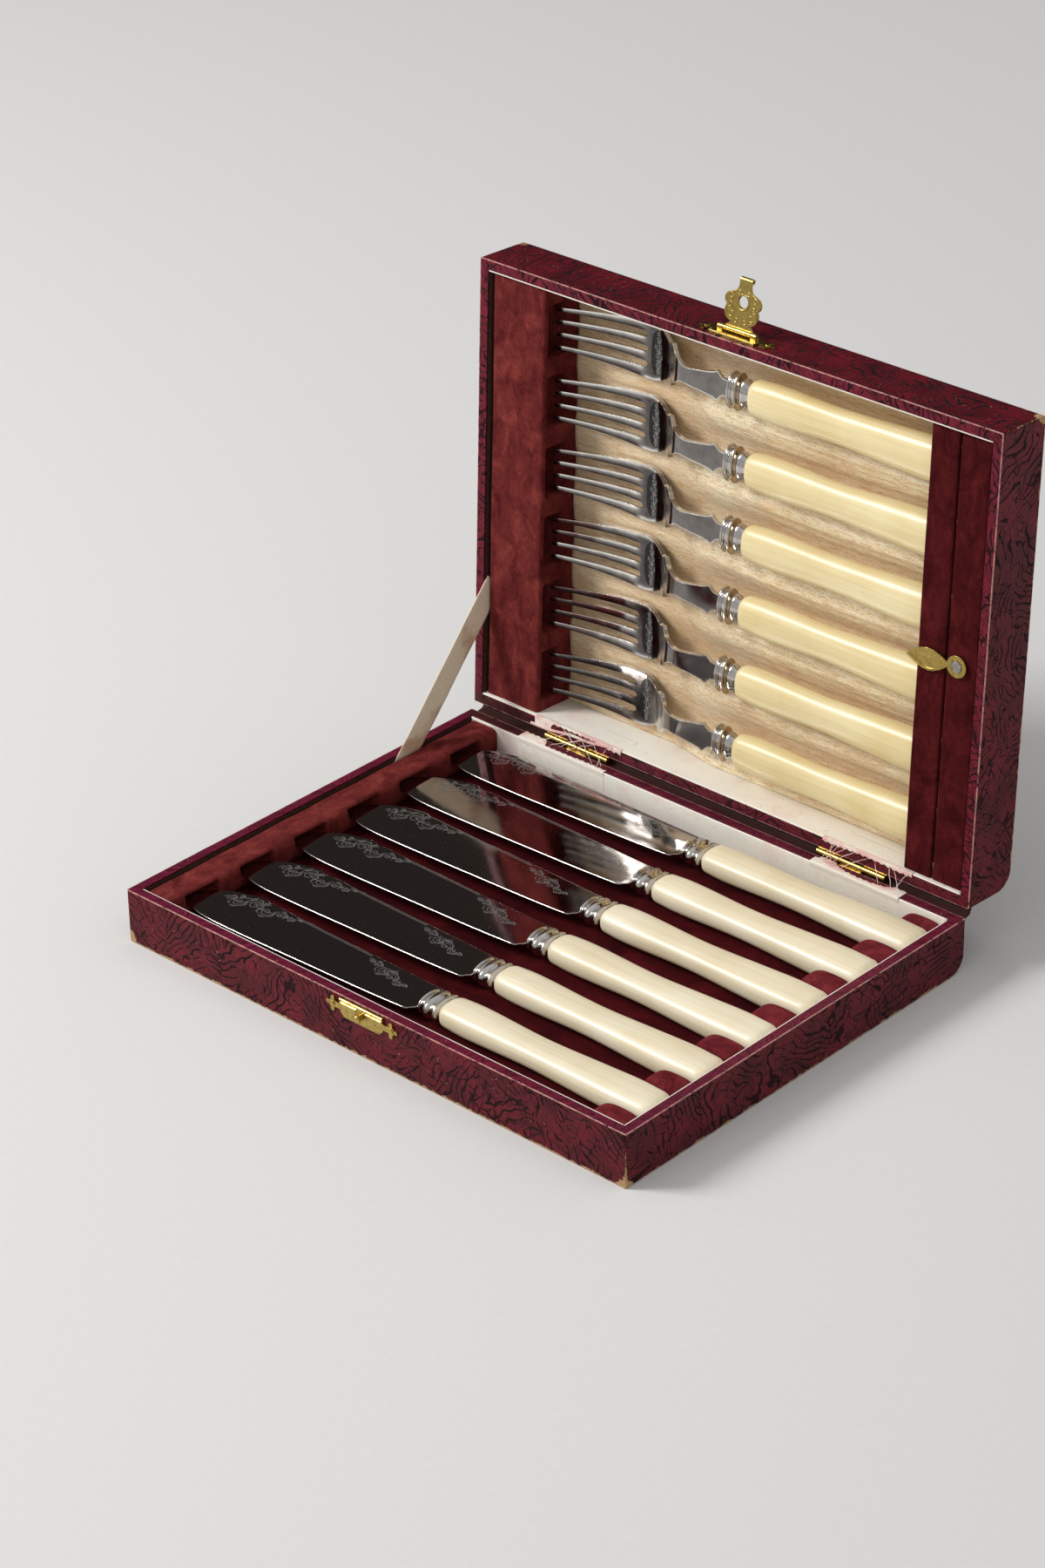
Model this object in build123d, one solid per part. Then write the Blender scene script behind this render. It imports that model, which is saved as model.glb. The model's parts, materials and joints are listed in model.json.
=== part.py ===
"""Boxed set of six fish knives and six fish forks, in millimetres.

X runs to the right along the case, Y runs back to the hinge and Z runs up. The origin is the
middle of the underside. The lid and all that it carries is drawn shut, above the base, and is
then turned open about the hinge pins. Inside the lid, depth is counted from its rim inwards,
and rise is counted from its hinge side towards its front.
"""

from build123d import *
import os
from math import copysign, cos, pi, radians, sin, tan

# Case
case_width = 230.0
case_depth = 174.0
base_height = 20.6
lid_height = 23.3
shut_gap = 0.5
open_angle = 93.0
cover_thickness = 0.8
wall_board = 3.0
bottom_board = 3.0
top_board = 2.4
lining_thickness = 0.7
lining_below_rim = 0.2
long_edge_radius = 7.0
front_edge_radius = 1.7
corner_flat = 0.35

# Beds inside the base
bed_top = 9.7
bed_edge_gap = 0.1
rack_wall_gap = 1.0
rack_width = 12.2
rack_below_rim = 1.0
rack_edge_radius = 2.2
rack_end_gap = 0.1
knife_slot_width = 15.5
knife_slot_low = 14.25
knife_slot_high = 18.4
knife_slot_depth = 7.6
knife_slot_offset = -2.7
pad_length = 17.2
pad_top = 18.7
pad_edge = 1.5
pad_side_gap = 0.4

# Set of knives
place_count = 6
knife_front_room = 18.1
knife_back_room = 13.9
knife_axis_height = 15.3
butt_gap = 0.4
knife_handle_length = 93.1

# Fish knife blade: distances from the ferrule or back from the tip, and heights off the axis
blade_thickness = 1.4
blade_edge_thickness = 0.5
blade_tip_room = 1.8
heel_spine = 7.6
heel_step = 2.2
heel_neck = 6.0
heel_edge = 8.8
heel_turn = 1.3
waist_edge_at = 44.0
waist_edge = 10.8
half_from_tip = 43.4
half_spine = 9.1
hump_from_tip = 24.8
hump_spine = 9.9
notch_from_tip = 21.9
notch_spine = 8.7
notch_end_from_tip = 19.0
brow_from_tip = 13.0
brow_spine = 6.9
nose_from_tip = 4.2
nose_spine = 0.4
snout_from_tip = 1.7
snout_drop = 2.6
tip_drop = 6.0
belly_from_tip = 21.8
belly_edge = 12.0
chin_from_tip = 8.4
chin_edge = 10.4

# Oval ferrule between metal and handle: distance along, and share of its full section
ferrule_half_width = 6.9
ferrule_half_height = 4.3
ferrule_rings = [
    (0.0, 0.78),
    (0.8, 0.9),
    (1.9, 0.74),
    (3.2, 0.94),
    (4.5, 1.0),
    (5.8, 0.94),
    (6.9, 0.76),
    (9.4, 0.82),
]
ferrule_sides = 16
tang_width = 5.0
tang_thickness = 1.3
tang_reach = 34.0
tang_clearance = 0.05

# Handle of each knife and fork: share of its length, and share of its full section
handle_half_width = 7.6
handle_half_height = 5.3
handle_stations = [
    (0.0, 0.7),
    (0.03, 0.82),
    (0.12, 0.9),
    (0.42, 0.81),
    (0.7, 0.93),
    (0.86, 1.0),
    (0.97, 0.95),
    (1.0, 0.72),
]
handle_squareness = 2.6
handle_sides = 20

# Fittings inside the lid
tine_rack_width = 25.3
tine_rack_depth = 1.5
tine_slot_width = 18.6
tine_slot_low = 4.0
tine_slot_high = 12.6
tine_slot_reach = 8.2
block_width = 13.0
block_depth = 1.7
block_side_gap = 0.1
flap_width = 11.6
flap_thickness = 1.7
crease_gap = 0.5
flap_edge_radius = 0.7
shelf_width = 12.4
shelf_depth = 11.5
saddle_clearance = 0.3
satin_trough = 0.6
satin_head_swell = 0.6
satin_handle_swell = 4.6
satin_side_gap = 0.2
satin_ease = 22.0
satin_steps = 6
satin_fullness = 0.8

# Set of forks
fork_front_room = 16.8
fork_hinge_room = 14.2
fork_axis_depth = 9.0
fork_butt_room = 3.3
fork_handle_length = 90.0
fork_thickness = 1.7
fork_tip_thickness = 1.2
fork_neck_end = 2.9
ear_at = 5.8
ear_half_width = 5.4
ear_foot_at = 3.2
ear_foot_half_width = 3.2
stem_at = 8.6
stem_half_width = 4.6
narrow_at = 20.0
narrow_half_width = 3.1
sweep_at = 25.6
sweep_half_width = 4.8
step_at = 29.0
step_half_width = 7.8
step_foot_at = 31.6
step_foot_half_width = 6.5
lobe_foot_at = 36.4
lobe_foot_half_width = 9.1
lobe_bulge = 0.7
palm_at = 41.8
palm_half_width = 10.5
root_at = 44.6
tine_tip_room = 6.3
tine_tip_half_width = 7.7
tine_round = 0.6
tine_gap_root = 2.3
root_sides = 8
tine_gap_tip = 3.25
tine_gap_root_pitch = 5.6
tine_gap_tip_pitch = 4.75
# Distance from the ferrule and depth of the fork's middle layer, from neck to palm
fork_bend = [
    (-1.0, 9.0),
    (6.0, 8.4),
    (17.5, 7.7),
    (24.0, 9.4),
    (34.0, 15.4),
    (40.0, 17.3),
]
# Share of the tines' length and depth of the same layer, to just past their tips
tine_bend = [
    (0.147, 17.2),
    (0.418, 15.7),
    (0.717, 13.1),
    (1.03, 9.6),
]

# Hinges
hinge_behind = 1.75
hinge_above_rim = 0.9
hinge_spread = 64.0
hinge_length = 30.0
knuckle_radius = 1.1
hinge_pin_radius = 0.5
hinge_pin_clearance = 0.08
knuckle_gap = 0.15
leaf_thickness = 0.6
leaf_inset = 2.0
leaf_back_gap = 0.2

# Cover strip over the hinge and the folding stay
spine_thickness = 0.6
spine_end_gap = 1.5
spine_lid_gap = 0.05
spine_tail = 6.4
spine_reach = 2.0
spine_lid_tail = 7.0
stay_width = 9.6
stay_thickness = 0.45
stay_base_from_hinge = 36.9
stay_lid_from_hinge = 41.7
stay_tuck = 9.0

# Hasp and catch
lock_middle = -0.8
lock_plate_length = 19.6
lock_plate_height = 7.0
lock_plate_thickness = 0.7
lock_plate_chamfer = 1.6
catch_below_rim = 0.7
hasp_plate_depth = 1.5
lock_neck_height = 2.2
lock_eye_reach = 3.6
lock_eye_radius = 1.7
lock_lobe_radius = 0.85
lock_lobe_reach = 2.2
lock_pin_radius = 0.65
lock_pin_length = 3.0
lock_pin_head_radius = 1.0
lock_pin_head = 0.35
ridge_half = 0.45
ridge_pitch = 1.35
ridge_gap = 4.4
round_sides = 24
small_sides = 16
tiny_sides = 8
stud_below_rim = 4.2
stud_radius = 1.15
stud_length = 1.7
stud_head_radius = 1.45
stud_head = 1.1
hasp_axis_depth = 5.2
hasp_axis_off_wall = 2.0
hasp_open_angle = 100.0
hasp_knuckle_radius = 1.0
hasp_pin_radius = 0.45
hasp_pin_clearance = 0.08
hasp_knuckle_length = 12.0
hasp_bracket_length = 2.2
hasp_bracket_gap = 0.2
hasp_sheet = 0.7
hasp_strip_half_width = 5.8
hasp_hole_radius = 2.2
hasp_hole_rim = 0.75
hasp_rim_proud = 0.35
hasp_length = 17.4
hasp_curl_radius = 0.95
hasp_neck_half_width = 2.6
hasp_neck_end = 16.2
# Distance from the hasp's hinge and half width, from the strip to the neck below the curl
hasp_waist = (2.6, 3.9)
hasp_low_lobe = (5.6, 7.3)
hasp_low_notch = (8.0, 6.7)
hasp_high_lobe = (10.4, 7.9)
hasp_high_notch = (12.4, 5.9)
hasp_throat = (14.2, 3.0)

# Turn button that holds the flap down
button_from_crease = 5.2
button_off_middle = 0.2
button_eye_radius = 4.0
button_leaf_length = 21.2
button_leaf_half_width = 4.1
button_leaf_start = 4.6
button_tilt = 4.6
button_thickness = 1.1
button_gap = 0.15
button_border = 0.9
button_sink = 0.3
leaf_steps = 8
screw_head_radius = 2.1
screw_head_height = 0.55
screw_shank_radius = 1.0
screw_length = 9.0
screw_clearance = 0.2
screw_head_seat = 0.45
screw_slot_width = 0.5
screw_slot_depth = 0.3
screw_slot_turn = 35.0

# Seats and planes that follow from the sizes above
half_width = case_width / 2
half_depth = case_depth / 2
wall = cover_thickness + wall_board
inner_x = half_width - wall
inner_y = half_depth - wall
lined_x = inner_x - lining_thickness
lined_y = inner_y - lining_thickness
base_floor = cover_thickness + bottom_board
rim_board = base_height - cover_thickness
lid_rim = base_height + shut_gap
lid_roof = lid_height - cover_thickness - top_board
lock_pin_x = lock_plate_length / 2 + lock_eye_reach
hinge_y = half_depth + hinge_behind
hinge_z = base_height + hinge_above_rim
rack_left = -inner_x + rack_wall_gap
rack_right = rack_left + rack_width
rack_top = base_height - rack_below_rim
knife_end = lined_x - butt_gap
ferrule_length = ferrule_rings[-1][0]
ferrule_start = knife_end - knife_handle_length - ferrule_length
blade_tip = rack_right - knife_slot_depth + blade_tip_room
blade_length = ferrule_start - blade_tip
half_at = blade_length - half_from_tip
hump_at = blade_length - hump_from_tip
notch_at = blade_length - notch_from_tip
notch_end_at = blade_length - notch_end_from_tip
brow_at = blade_length - brow_from_tip
nose_at = blade_length - nose_from_tip
snout_at = blade_length - snout_from_tip
belly_at = blade_length - belly_from_tip
chin_at = blade_length - chin_from_tip
knife_pitch = (2 * lined_y - knife_front_room - knife_back_room) / (place_count - 1)
fork_pitch = (2 * lined_y - fork_front_room - fork_hinge_room) / (place_count - 1)
tine_rack_right = rack_left + tine_rack_width
block_right = inner_x - rack_wall_gap + block_side_gap
block_left = block_right - block_width
flap_right = block_left - crease_gap
flap_left = flap_right - flap_width
fork_ferrule_end = block_left - fork_butt_room - fork_handle_length
fork_neck = fork_ferrule_end - ferrule_length
tine_tip_at = fork_neck - (tine_rack_right - tine_slot_reach + tine_tip_room)
button_x = block_left + button_from_crease
lined_rise = half_depth - lined_y
places = range(place_count)
overshoot = 1.0


def slab(x_low, x_high, y_low, y_high, z_low, z_high):
    """Block between six planes."""
    middle = ((x_low + x_high) / 2, (y_low + y_high) / 2, (z_low + z_high) / 2)
    return Pos(*middle) * Box(x_high - x_low, y_high - y_low, z_high - z_low)


def lid_z(depth):
    """Height of a depth inside the shut lid."""
    return lid_rim + depth


def lid_y(rise):
    """Y of a rise above the lid's hinge side, with the lid shut."""
    return half_depth - rise


def lid_slab(x_low, x_high, rise_low, rise_high, depth_low, depth_high):
    """Block in the shut lid, given by rise and depth."""
    return slab(x_low, x_high, lid_y(rise_high), lid_y(rise_low), lid_z(depth_low), lid_z(depth_high))


def opened(shape):
    """Turn a piece of the shut lid to where it stands open."""
    return shape.rotate(Axis((0, hinge_y, hinge_z), (1, 0, 0)), -open_angle)


def across(x, y=0.0, z=0.0):
    """Plane square to X, with its own x along Y and its own y along Z."""
    return Plane(origin=(x, y, z), x_dir=(0, 1, 0), z_dir=(1, 0, 0))


def oval(x, half_wide, half_high, squareness, sides):
    """Points square to X on an oval, an ellipse at squareness 2 and nearer a rectangle above it."""
    points = []
    for number in range(sides):
        turn = 2 * pi * (number + 0.5) / sides
        wide = half_wide * abs(cos(turn)) ** (2 / squareness)
        high = half_high * abs(sin(turn)) ** (2 / squareness)
        points.append(Vector(x, copysign(wide, cos(turn)), copysign(high, sin(turn))))
    return points


def faceted(ovals):
    """Solid through similar ovals, with one flat facet between neighbouring points."""
    faces = [Face(Wire.make_polygon(ovals[0])), Face(Wire.make_polygon(ovals[-1]))]
    for near, far in zip(ovals[:-1], ovals[1:]):
        for number in range(len(near)):
            corners = [near[number - 1], near[number], far[number], far[number - 1]]
            faces.append(Face(Wire.make_polygon(corners)))
    return Solid(Shell(faces))


def peg(radius, low, high, sides):
    """Small round bar along Z, drawn with a few sides."""
    return Pos(0, 0, low) * extrude(RegularPolygon(radius, sides), high - low, dir=(0, 0, 1))


def knife_y(place):
    """Y of a knife's axis, counted from the front."""
    return knife_front_room - lined_y + place * knife_pitch


def fork_y(place):
    """Y of a fork's axis with the lid shut, counted from the lid's front."""
    return fork_front_room - lined_y + place * fork_pitch


def cased(z_low, z_high, inset, round_front, round_top):
    """The case's outer block, or its wooden core where inset, with its long edges rounded."""
    block = slab(
        inset - half_width,
        half_width - inset,
        inset - half_depth,
        half_depth - inset,
        z_low + inset,
        z_high - inset,
    )
    far_level = -1 if round_top else 0
    far_edges = block.edges().filter_by(Axis.X).group_by(Axis.Z)[far_level].sort_by(Axis.Y)
    block = fillet(far_edges[-1:], long_edge_radius - inset)
    if not round_front:
        return block
    far_edges = block.edges().filter_by(Axis.X).group_by(Axis.Z)[far_level].sort_by(Axis.Y)
    return fillet(far_edges[:1], front_edge_radius - inset)


def softened(block, round_top):
    """Take off the four upright corners of the cover."""
    upright = block.edges().filter_by(Axis.Z)
    return chamfer(upright, corner_flat)


def well(z_low, z_high):
    """The space inside the walls."""
    return slab(-inner_x, inner_x, -inner_y, inner_y, z_low, z_high)


def leaf_x(side, low, high):
    """X range of part of a hinge, measured from the hinge's left end."""
    left = side * hinge_spread - hinge_length / 2
    return left + low, left + high


def knuckle_ranges(of_base):
    """Ranges along a hinge of the knuckles on one leaf."""
    third = hinge_length / 3
    if of_base:
        return [(third + knuckle_gap, 2 * third - knuckle_gap)]
    return [(0, third), (2 * third, hinge_length)]


def hinge_leaf(side, of_base):
    """Leaf let into the rim under the cover, with its knuckles rolled round the pin."""
    plate_low = rim_board - leaf_thickness if of_base else lid_rim + cover_thickness
    plate_high = plate_low + leaf_thickness
    plate_front = inner_y + leaf_inset / 2
    plate_back = hinge_y - knuckle_radius - leaf_back_gap
    leaf = slab(*leaf_x(side, 0, hinge_length), plate_front, plate_back, plate_low, plate_high)
    for low, high in knuckle_ranges(of_base):
        x_low, x_high = leaf_x(side, low, high)
        leaf += Pos(0, hinge_y, hinge_z) * Rot(0, 90, 0) * peg(knuckle_radius, x_low, x_high, small_sides)
        leaf += slab(x_low, x_high, plate_front, hinge_y, plate_low, plate_high)
        if of_base:
            leaf += slab(x_low, x_high, hinge_y - leaf_thickness, hinge_y, plate_low, hinge_z)
    bore_radius = hinge_pin_radius + (0 if of_base else hinge_pin_clearance)
    bore = Rot(0, 90, 0) * peg(bore_radius, -hinge_length, hinge_length, small_sides)
    return leaf - Pos(side * hinge_spread, hinge_y, hinge_z) * bore


def leaf_recesses(of_base):
    """Room that the leaves take in the wood and in the cover behind it."""
    plate_low = rim_board - leaf_thickness if of_base else lid_rim + cover_thickness
    plate_high = plate_low + leaf_thickness
    room = []
    for side in (-1, 1):
        x_low, x_high = leaf_x(side, 0, hinge_length)
        room.append(slab(x_low, x_high, inner_y + leaf_inset / 2, half_depth, plate_low, plate_high))
    return room


# Base box: wooden walls on a bottom board, in one leatherette cover that turns in over the rim
base_core = cased(0, base_height, cover_thickness, False, False)
base_carcass = base_core - well(0, base_height) - leaf_recesses(True)
base_bottom = base_core & slab(-inner_x, inner_x, -inner_y, inner_y, 0, base_floor)
base_block = softened(cased(0, base_height, 0, False, False), False)
base_cover = base_block - base_core - well(base_floor, base_height) - leaf_recesses(True)

# Base lining: sateen strip glued round the front, right and back walls, torn open at the hinges
lining_outer = slab(-inner_x, inner_x, -inner_y, inner_y, base_floor, base_height - lining_below_rim)
lining_inner = slab(-inner_x - overshoot, lined_x, -lined_y, lined_y, base_floor, base_height)
base_lining = lining_outer - lining_inner
tongue_thickness = shut_gap - lining_below_rim / 2
tongue_back = inner_y + wall_board
for tongue_low, tongue_high in ((-hinge_spread - hinge_length * 0.62, -hinge_spread - hinge_length / 2),
                                (hinge_spread - hinge_length * 0.6, hinge_spread + hinge_length * 0.62)):
    base_lining += slab(tongue_low, tongue_high, lined_y, tongue_back, base_height,
                        base_height + tongue_thickness)
    base_lining += slab(tongue_low, tongue_high, lined_y, inner_y, base_height - wall,
                        base_height + tongue_thickness)

# Velvet bed: covered board that fills the base up to where the handles lie
base_bed = slab(-inner_x, lined_x, -lined_y, lined_y, base_floor, bed_top)

# Tip rack: velvet bar with a slot for each blade
rack = slab(rack_left, rack_right, rack_end_gap - lined_y, lined_y - rack_end_gap, bed_top, rack_top)
rack = fillet(rack.edges().filter_by(Axis.Y).group_by(Axis.Z)[-1], rack_edge_radius)
for place in places:
    slot_y = knife_y(place) + knife_slot_offset
    rack -= slab(
        rack_right - knife_slot_depth,
        rack_right + overshoot,
        slot_y - knife_slot_width / 2,
        slot_y + knife_slot_width / 2,
        knife_slot_low,
        knife_slot_high,
    )


def handle_pad(y_low, y_high):
    """Velvet pad that keeps two handle butts apart."""
    pad = slab(lined_x - pad_length, lined_x, y_low, y_high, bed_top, pad_top)
    top_edges = pad.edges().filter_by(Axis.X).group_by(Axis.Z)[-1]
    return chamfer(top_edges, pad_edge)


pad_reach = handle_half_width + pad_side_gap
pad_limits = [-lined_y]
for place in places:
    pad_limits += [knife_y(place) - pad_reach, knife_y(place) + pad_reach]
pad_limits.append(lined_y)
pads = [handle_pad(low, high) for low, high in zip(pad_limits[::2], pad_limits[1::2])]


def blade():
    """Fish knife blade in the XY plane, its ferrule end at x = 0 and its tip towards -X."""
    outline = [
        ThreePointArc((0, heel_spine), (-half_at, half_spine), (-hump_at, hump_spine)),
        ThreePointArc((-hump_at, hump_spine), (-notch_at, notch_spine), (-notch_end_at, notch_spine)),
        ThreePointArc((-notch_end_at, notch_spine), (-brow_at, brow_spine), (-nose_at, nose_spine)),
        ThreePointArc((-nose_at, nose_spine), (-snout_at, -snout_drop), (-blade_length, -tip_drop)),
        ThreePointArc((-blade_length, -tip_drop), (-chin_at, -chin_edge), (-belly_at, -belly_edge)),
        ThreePointArc((-belly_at, -belly_edge), (-waist_edge_at, -waist_edge), (-heel_step, -heel_edge)),
        ThreePointArc((-heel_step, -heel_edge), (-heel_turn, -heel_neck - heel_turn), (0, -heel_neck)),
        Line((0, -heel_neck), (0, heel_spine)),
    ]
    plate = extrude(make_face(outline), blade_thickness, both=True)
    wedge = Polygon(
        (hump_spine, -blade_thickness / 2),
        (hump_spine, blade_thickness / 2),
        (-heel_neck, blade_thickness / 2),
        (-belly_edge - overshoot, blade_edge_thickness / 2),
        (-belly_edge - overshoot, -blade_edge_thickness / 2),
        (-heel_neck, -blade_thickness / 2),
        align=None,
    )
    return plate & extrude(across(-blade_length - overshoot) * wedge, blade_length + 2 * overshoot)


def tang(clearance=0.0):
    """Flat tang that runs back from x = 0 through the ferrule into the handle."""
    half = tang_width / 2 + clearance
    thick = tang_thickness / 2 + clearance
    return slab(-clearance, tang_reach + clearance, -half, half, -thick, thick)


def ferrule():
    """Oval silver ferrule from x = 0: a thin ring, a full bead and a plain collar."""
    ovals = []
    for at, share in ferrule_rings:
        wide = ferrule_half_width * share
        high = ferrule_half_height * share
        ovals.append(oval(at, wide, high, 2, ferrule_sides))
    return faceted(ovals) - tang(tang_clearance)


def handle(length):
    """Handle from x = 0: rounded shoulder, waist, swollen butt with a rounded end."""
    ovals = []
    for at, share in handle_stations:
        wide = handle_half_width * share
        high = handle_half_height * share
        ovals.append(oval(at * length, wide, high, handle_squareness, handle_sides))
    return faceted(ovals) - Pos(-ferrule_length, 0, 0) * tang(tang_clearance)


knife_blade = blade() + tang()
knife_ferrule = ferrule()
knife_handle = handle(knife_handle_length)


def fork_plan():
    """Fork seen from its face: one half outline mirrored, less the three gaps between tines."""
    half = [
        Line((0, 0), (0, fork_neck_end)),
        Line((0, fork_neck_end), (-ear_foot_at, ear_foot_half_width)),
        Line((-ear_foot_at, ear_foot_half_width), (-ear_at, ear_half_width)),
        Line((-ear_at, ear_half_width), (-stem_at, stem_half_width)),
        ThreePointArc(
            (-stem_at, stem_half_width), (-narrow_at, narrow_half_width), (-sweep_at, sweep_half_width)
        ),
        Line((-sweep_at, sweep_half_width), (-step_at, step_half_width)),
        Line((-step_at, step_half_width), (-step_foot_at, step_foot_half_width)),
        ThreePointArc(
            (-step_foot_at, step_foot_half_width),
            (
                -(step_foot_at + lobe_foot_at) / 2,
                (step_foot_half_width + lobe_foot_half_width) / 2 + lobe_bulge,
            ),
            (-lobe_foot_at, lobe_foot_half_width),
        ),
        ThreePointArc(
            (-lobe_foot_at, lobe_foot_half_width),
            (
                -(lobe_foot_at + palm_at) / 2,
                (lobe_foot_half_width + palm_half_width) / 2 + lobe_bulge,
            ),
            (-palm_at, palm_half_width),
        ),
        ThreePointArc(
            (-palm_at, palm_half_width),
            (-(palm_at + tine_tip_at) / 2, (palm_half_width + tine_tip_half_width) / 2 + lobe_bulge),
            (-tine_tip_at, tine_tip_half_width),
        ),
        Line((-tine_tip_at, tine_tip_half_width), (-tine_tip_at, 0)),
        Line((-tine_tip_at, 0), (0, 0)),
    ]
    side = make_face(half)
    plan = side + mirror(side, Plane.XZ)
    for gap in (-1, 0, 1):
        root_y = gap * tine_gap_root_pitch
        tip_y = gap * tine_gap_tip_pitch
        past_tip = -tine_tip_at - overshoot
        root_end = RegularPolygon(tine_gap_root / 2, root_sides, rotation=180 / root_sides)
        plan -= Pos(-root_at, root_y) * root_end
        plan -= Polygon(
            (-root_at, root_y - tine_gap_root / 2),
            (-root_at, root_y + tine_gap_root / 2),
            (past_tip, tip_y + tine_gap_tip / 2),
            (past_tip, tip_y - tine_gap_tip / 2),
            align=None,
        )
    tips = plan.vertices().group_by(Axis.X)[0]
    return chamfer(tips, tine_round)


def fork_sheet():
    """The bent thickness of a fork, drawn in X and depth and drawn out across its width."""
    tine_length = tine_tip_at - root_at
    bend = fork_bend + [(root_at + share * tine_length, depth) for share, depth in tine_bend]
    last = len(bend) - 1
    upper = []
    lower = []
    for number, (at, depth) in enumerate(bend):
        thick = fork_thickness
        if number == last:
            thick = fork_tip_thickness
        upper.append((-at, depth - thick / 2))
        lower.append((-at, depth + thick / 2))
    profile = make_face(Polyline(*upper, *lower[::-1], close=True))
    standing = Plane(origin=(0, 0, 0), x_dir=(1, 0, 0), z_dir=(0, -1, 0))
    return extrude(standing * profile, palm_half_width + overshoot, both=True)


def fork():
    """Fork body with its tang, its neck end at x = 0 and depth counted up from z = 0."""
    body = extrude(fork_plan(), fork_bend[0][1] + lid_roof, dir=(0, 0, 1)) & fork_sheet()
    half = tang_width / 2
    thick = tang_thickness / 2
    return body + slab(0, tang_reach, -half, half, fork_axis_depth - thick, fork_axis_depth + thick)


fork_body = fork()
fork_ferrule = ferrule()
fork_handle = handle(fork_handle_length)


def in_lid(shape, x, place):
    """Carry a piece drawn on its own axis to a fork's place in the open lid."""
    return opened(Pos(x, fork_y(place), lid_z(0)) * shape)


# Lid box: like the base, with both long top edges rounded
lid_top = lid_rim + lid_height
lid_core = cased(lid_rim, lid_top, cover_thickness, True, True)
lid_carcass = lid_core - well(lid_rim, lid_top) - leaf_recesses(False)
lid_board = lid_core & slab(-inner_x, inner_x, -inner_y, inner_y, lid_z(lid_roof), lid_top)
lid_block = softened(cased(lid_rim, lid_top, 0, True, True), True)
lid_cover = lid_block - lid_core - well(lid_rim, lid_z(lid_roof)) - leaf_recesses(False)

# Lid lining: one strip on the front wall and one on the hinge wall
lid_lining = [
    slab(-inner_x, inner_x, low, high, lid_z(lining_below_rim), lid_z(lid_roof))
    for low, high in ((-inner_y, -lined_y), (lined_y, inner_y))
]

# Tine rack: velvet bar with a slot for each fork's tines
tine_rack = lid_slab(
    rack_left, tine_rack_right, lined_rise + rack_end_gap, case_depth - lined_rise - rack_end_gap,
    tine_rack_depth, lid_roof,
)
tine_rack = fillet(tine_rack.edges().filter_by(Axis.Y).group_by(Axis.Z)[0], rack_edge_radius / 2)
for place in places:
    tine_rack -= slab(
        tine_rack_right - tine_slot_reach,
        tine_rack_right + overshoot,
        fork_y(place) - tine_slot_width / 2,
        fork_y(place) + tine_slot_width / 2,
        lid_z(tine_slot_low),
        lid_z(tine_slot_high),
    )

# Handle block: velvet bar down the right side, with a low shelf that the butts lie on
block = lid_slab(
    block_left, block_right, lined_rise + rack_end_gap, case_depth - lined_rise - rack_end_gap,
    block_depth, lid_roof,
)
block = fillet(block.edges().filter_by(Axis.Y).group_by(Axis.Z)[0], flap_edge_radius)
block += lid_slab(
    block_left - shelf_width, block_left, lined_rise + rack_end_gap,
    case_depth - lined_rise - rack_end_gap, shelf_depth, lid_roof,
)
saddle_half = handle_half_width + saddle_clearance
saddle_floor = fork_axis_depth + handle_half_height + saddle_clearance
for place in places:
    saddle = slab(
        block_left - shelf_width - overshoot,
        block_left,
        fork_y(place) - saddle_half,
        fork_y(place) + saddle_half,
        lid_z(shelf_depth - overshoot),
        lid_z(saddle_floor),
    )
    block -= saddle

# Retainer flap: velvet-covered strip hinged at the crease, lying over the butts of the forks
flap = lid_slab(
    flap_left, flap_right, lined_rise + rack_wall_gap / 2, case_depth - lined_rise - rack_wall_gap / 2,
    block_depth, block_depth + flap_thickness,
)
flap = fillet(flap.edges().filter_by(Axis.Y).group_by(Axis.X)[0], flap_edge_radius)


def satin_section(x, swell):
    """Puffed section of the satin panel: a low trough under each fork, a swell between forks."""
    floor_z = lid_z(lid_roof)
    trough_z = floor_z - satin_trough
    first_y = lined_y - satin_side_gap
    troughs = [fork_y(place) for place in places]
    stops = [-first_y] + troughs + [first_y]
    points = []
    for low, high in zip(stops[:-1], stops[1:]):
        for step in range(satin_steps):
            share = step / satin_steps
            rise = swell * sin(pi * share) ** satin_fullness
            points.append((low + (high - low) * share, trough_z - rise))
    points += [(first_y, trough_z), (first_y, floor_z), (-first_y, floor_z)]
    return across(x) * Polygon(*points, align=None)


satin_left = tine_rack_right + satin_side_gap
satin_right = block_left - shelf_width - satin_side_gap
satin_turn = fork_neck - step_at
satin = extrude(satin_section(satin_left, satin_head_swell), satin_right - satin_left, dir=(1, 0, 0))
puffs = extrude(satin_section(satin_turn, satin_handle_swell), satin_right - satin_turn, dir=(1, 0, 0))
puff_top = lid_roof - satin_trough - satin_handle_swell - satin_side_gap
puff_start = Polygon(
    (satin_turn, lid_roof),
    (satin_right, lid_roof),
    (satin_right, puff_top),
    (satin_turn + satin_ease, puff_top),
    (satin_turn, lid_roof - satin_trough),
    align=None,
)
side_on = Plane(origin=(0, 0, lid_z(0)), x_dir=(1, 0, 0), z_dir=(0, -1, 0))
satin += puffs & extrude(side_on * puff_start, case_depth, both=True)


def hinge_pin(side):
    """Pin through the knuckles of one hinge."""
    pin = peg(hinge_pin_radius, -hinge_length / 2, hinge_length / 2, small_sides)
    return Pos(side * hinge_spread, hinge_y, hinge_z) * Rot(0, 90, 0) * pin


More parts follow.
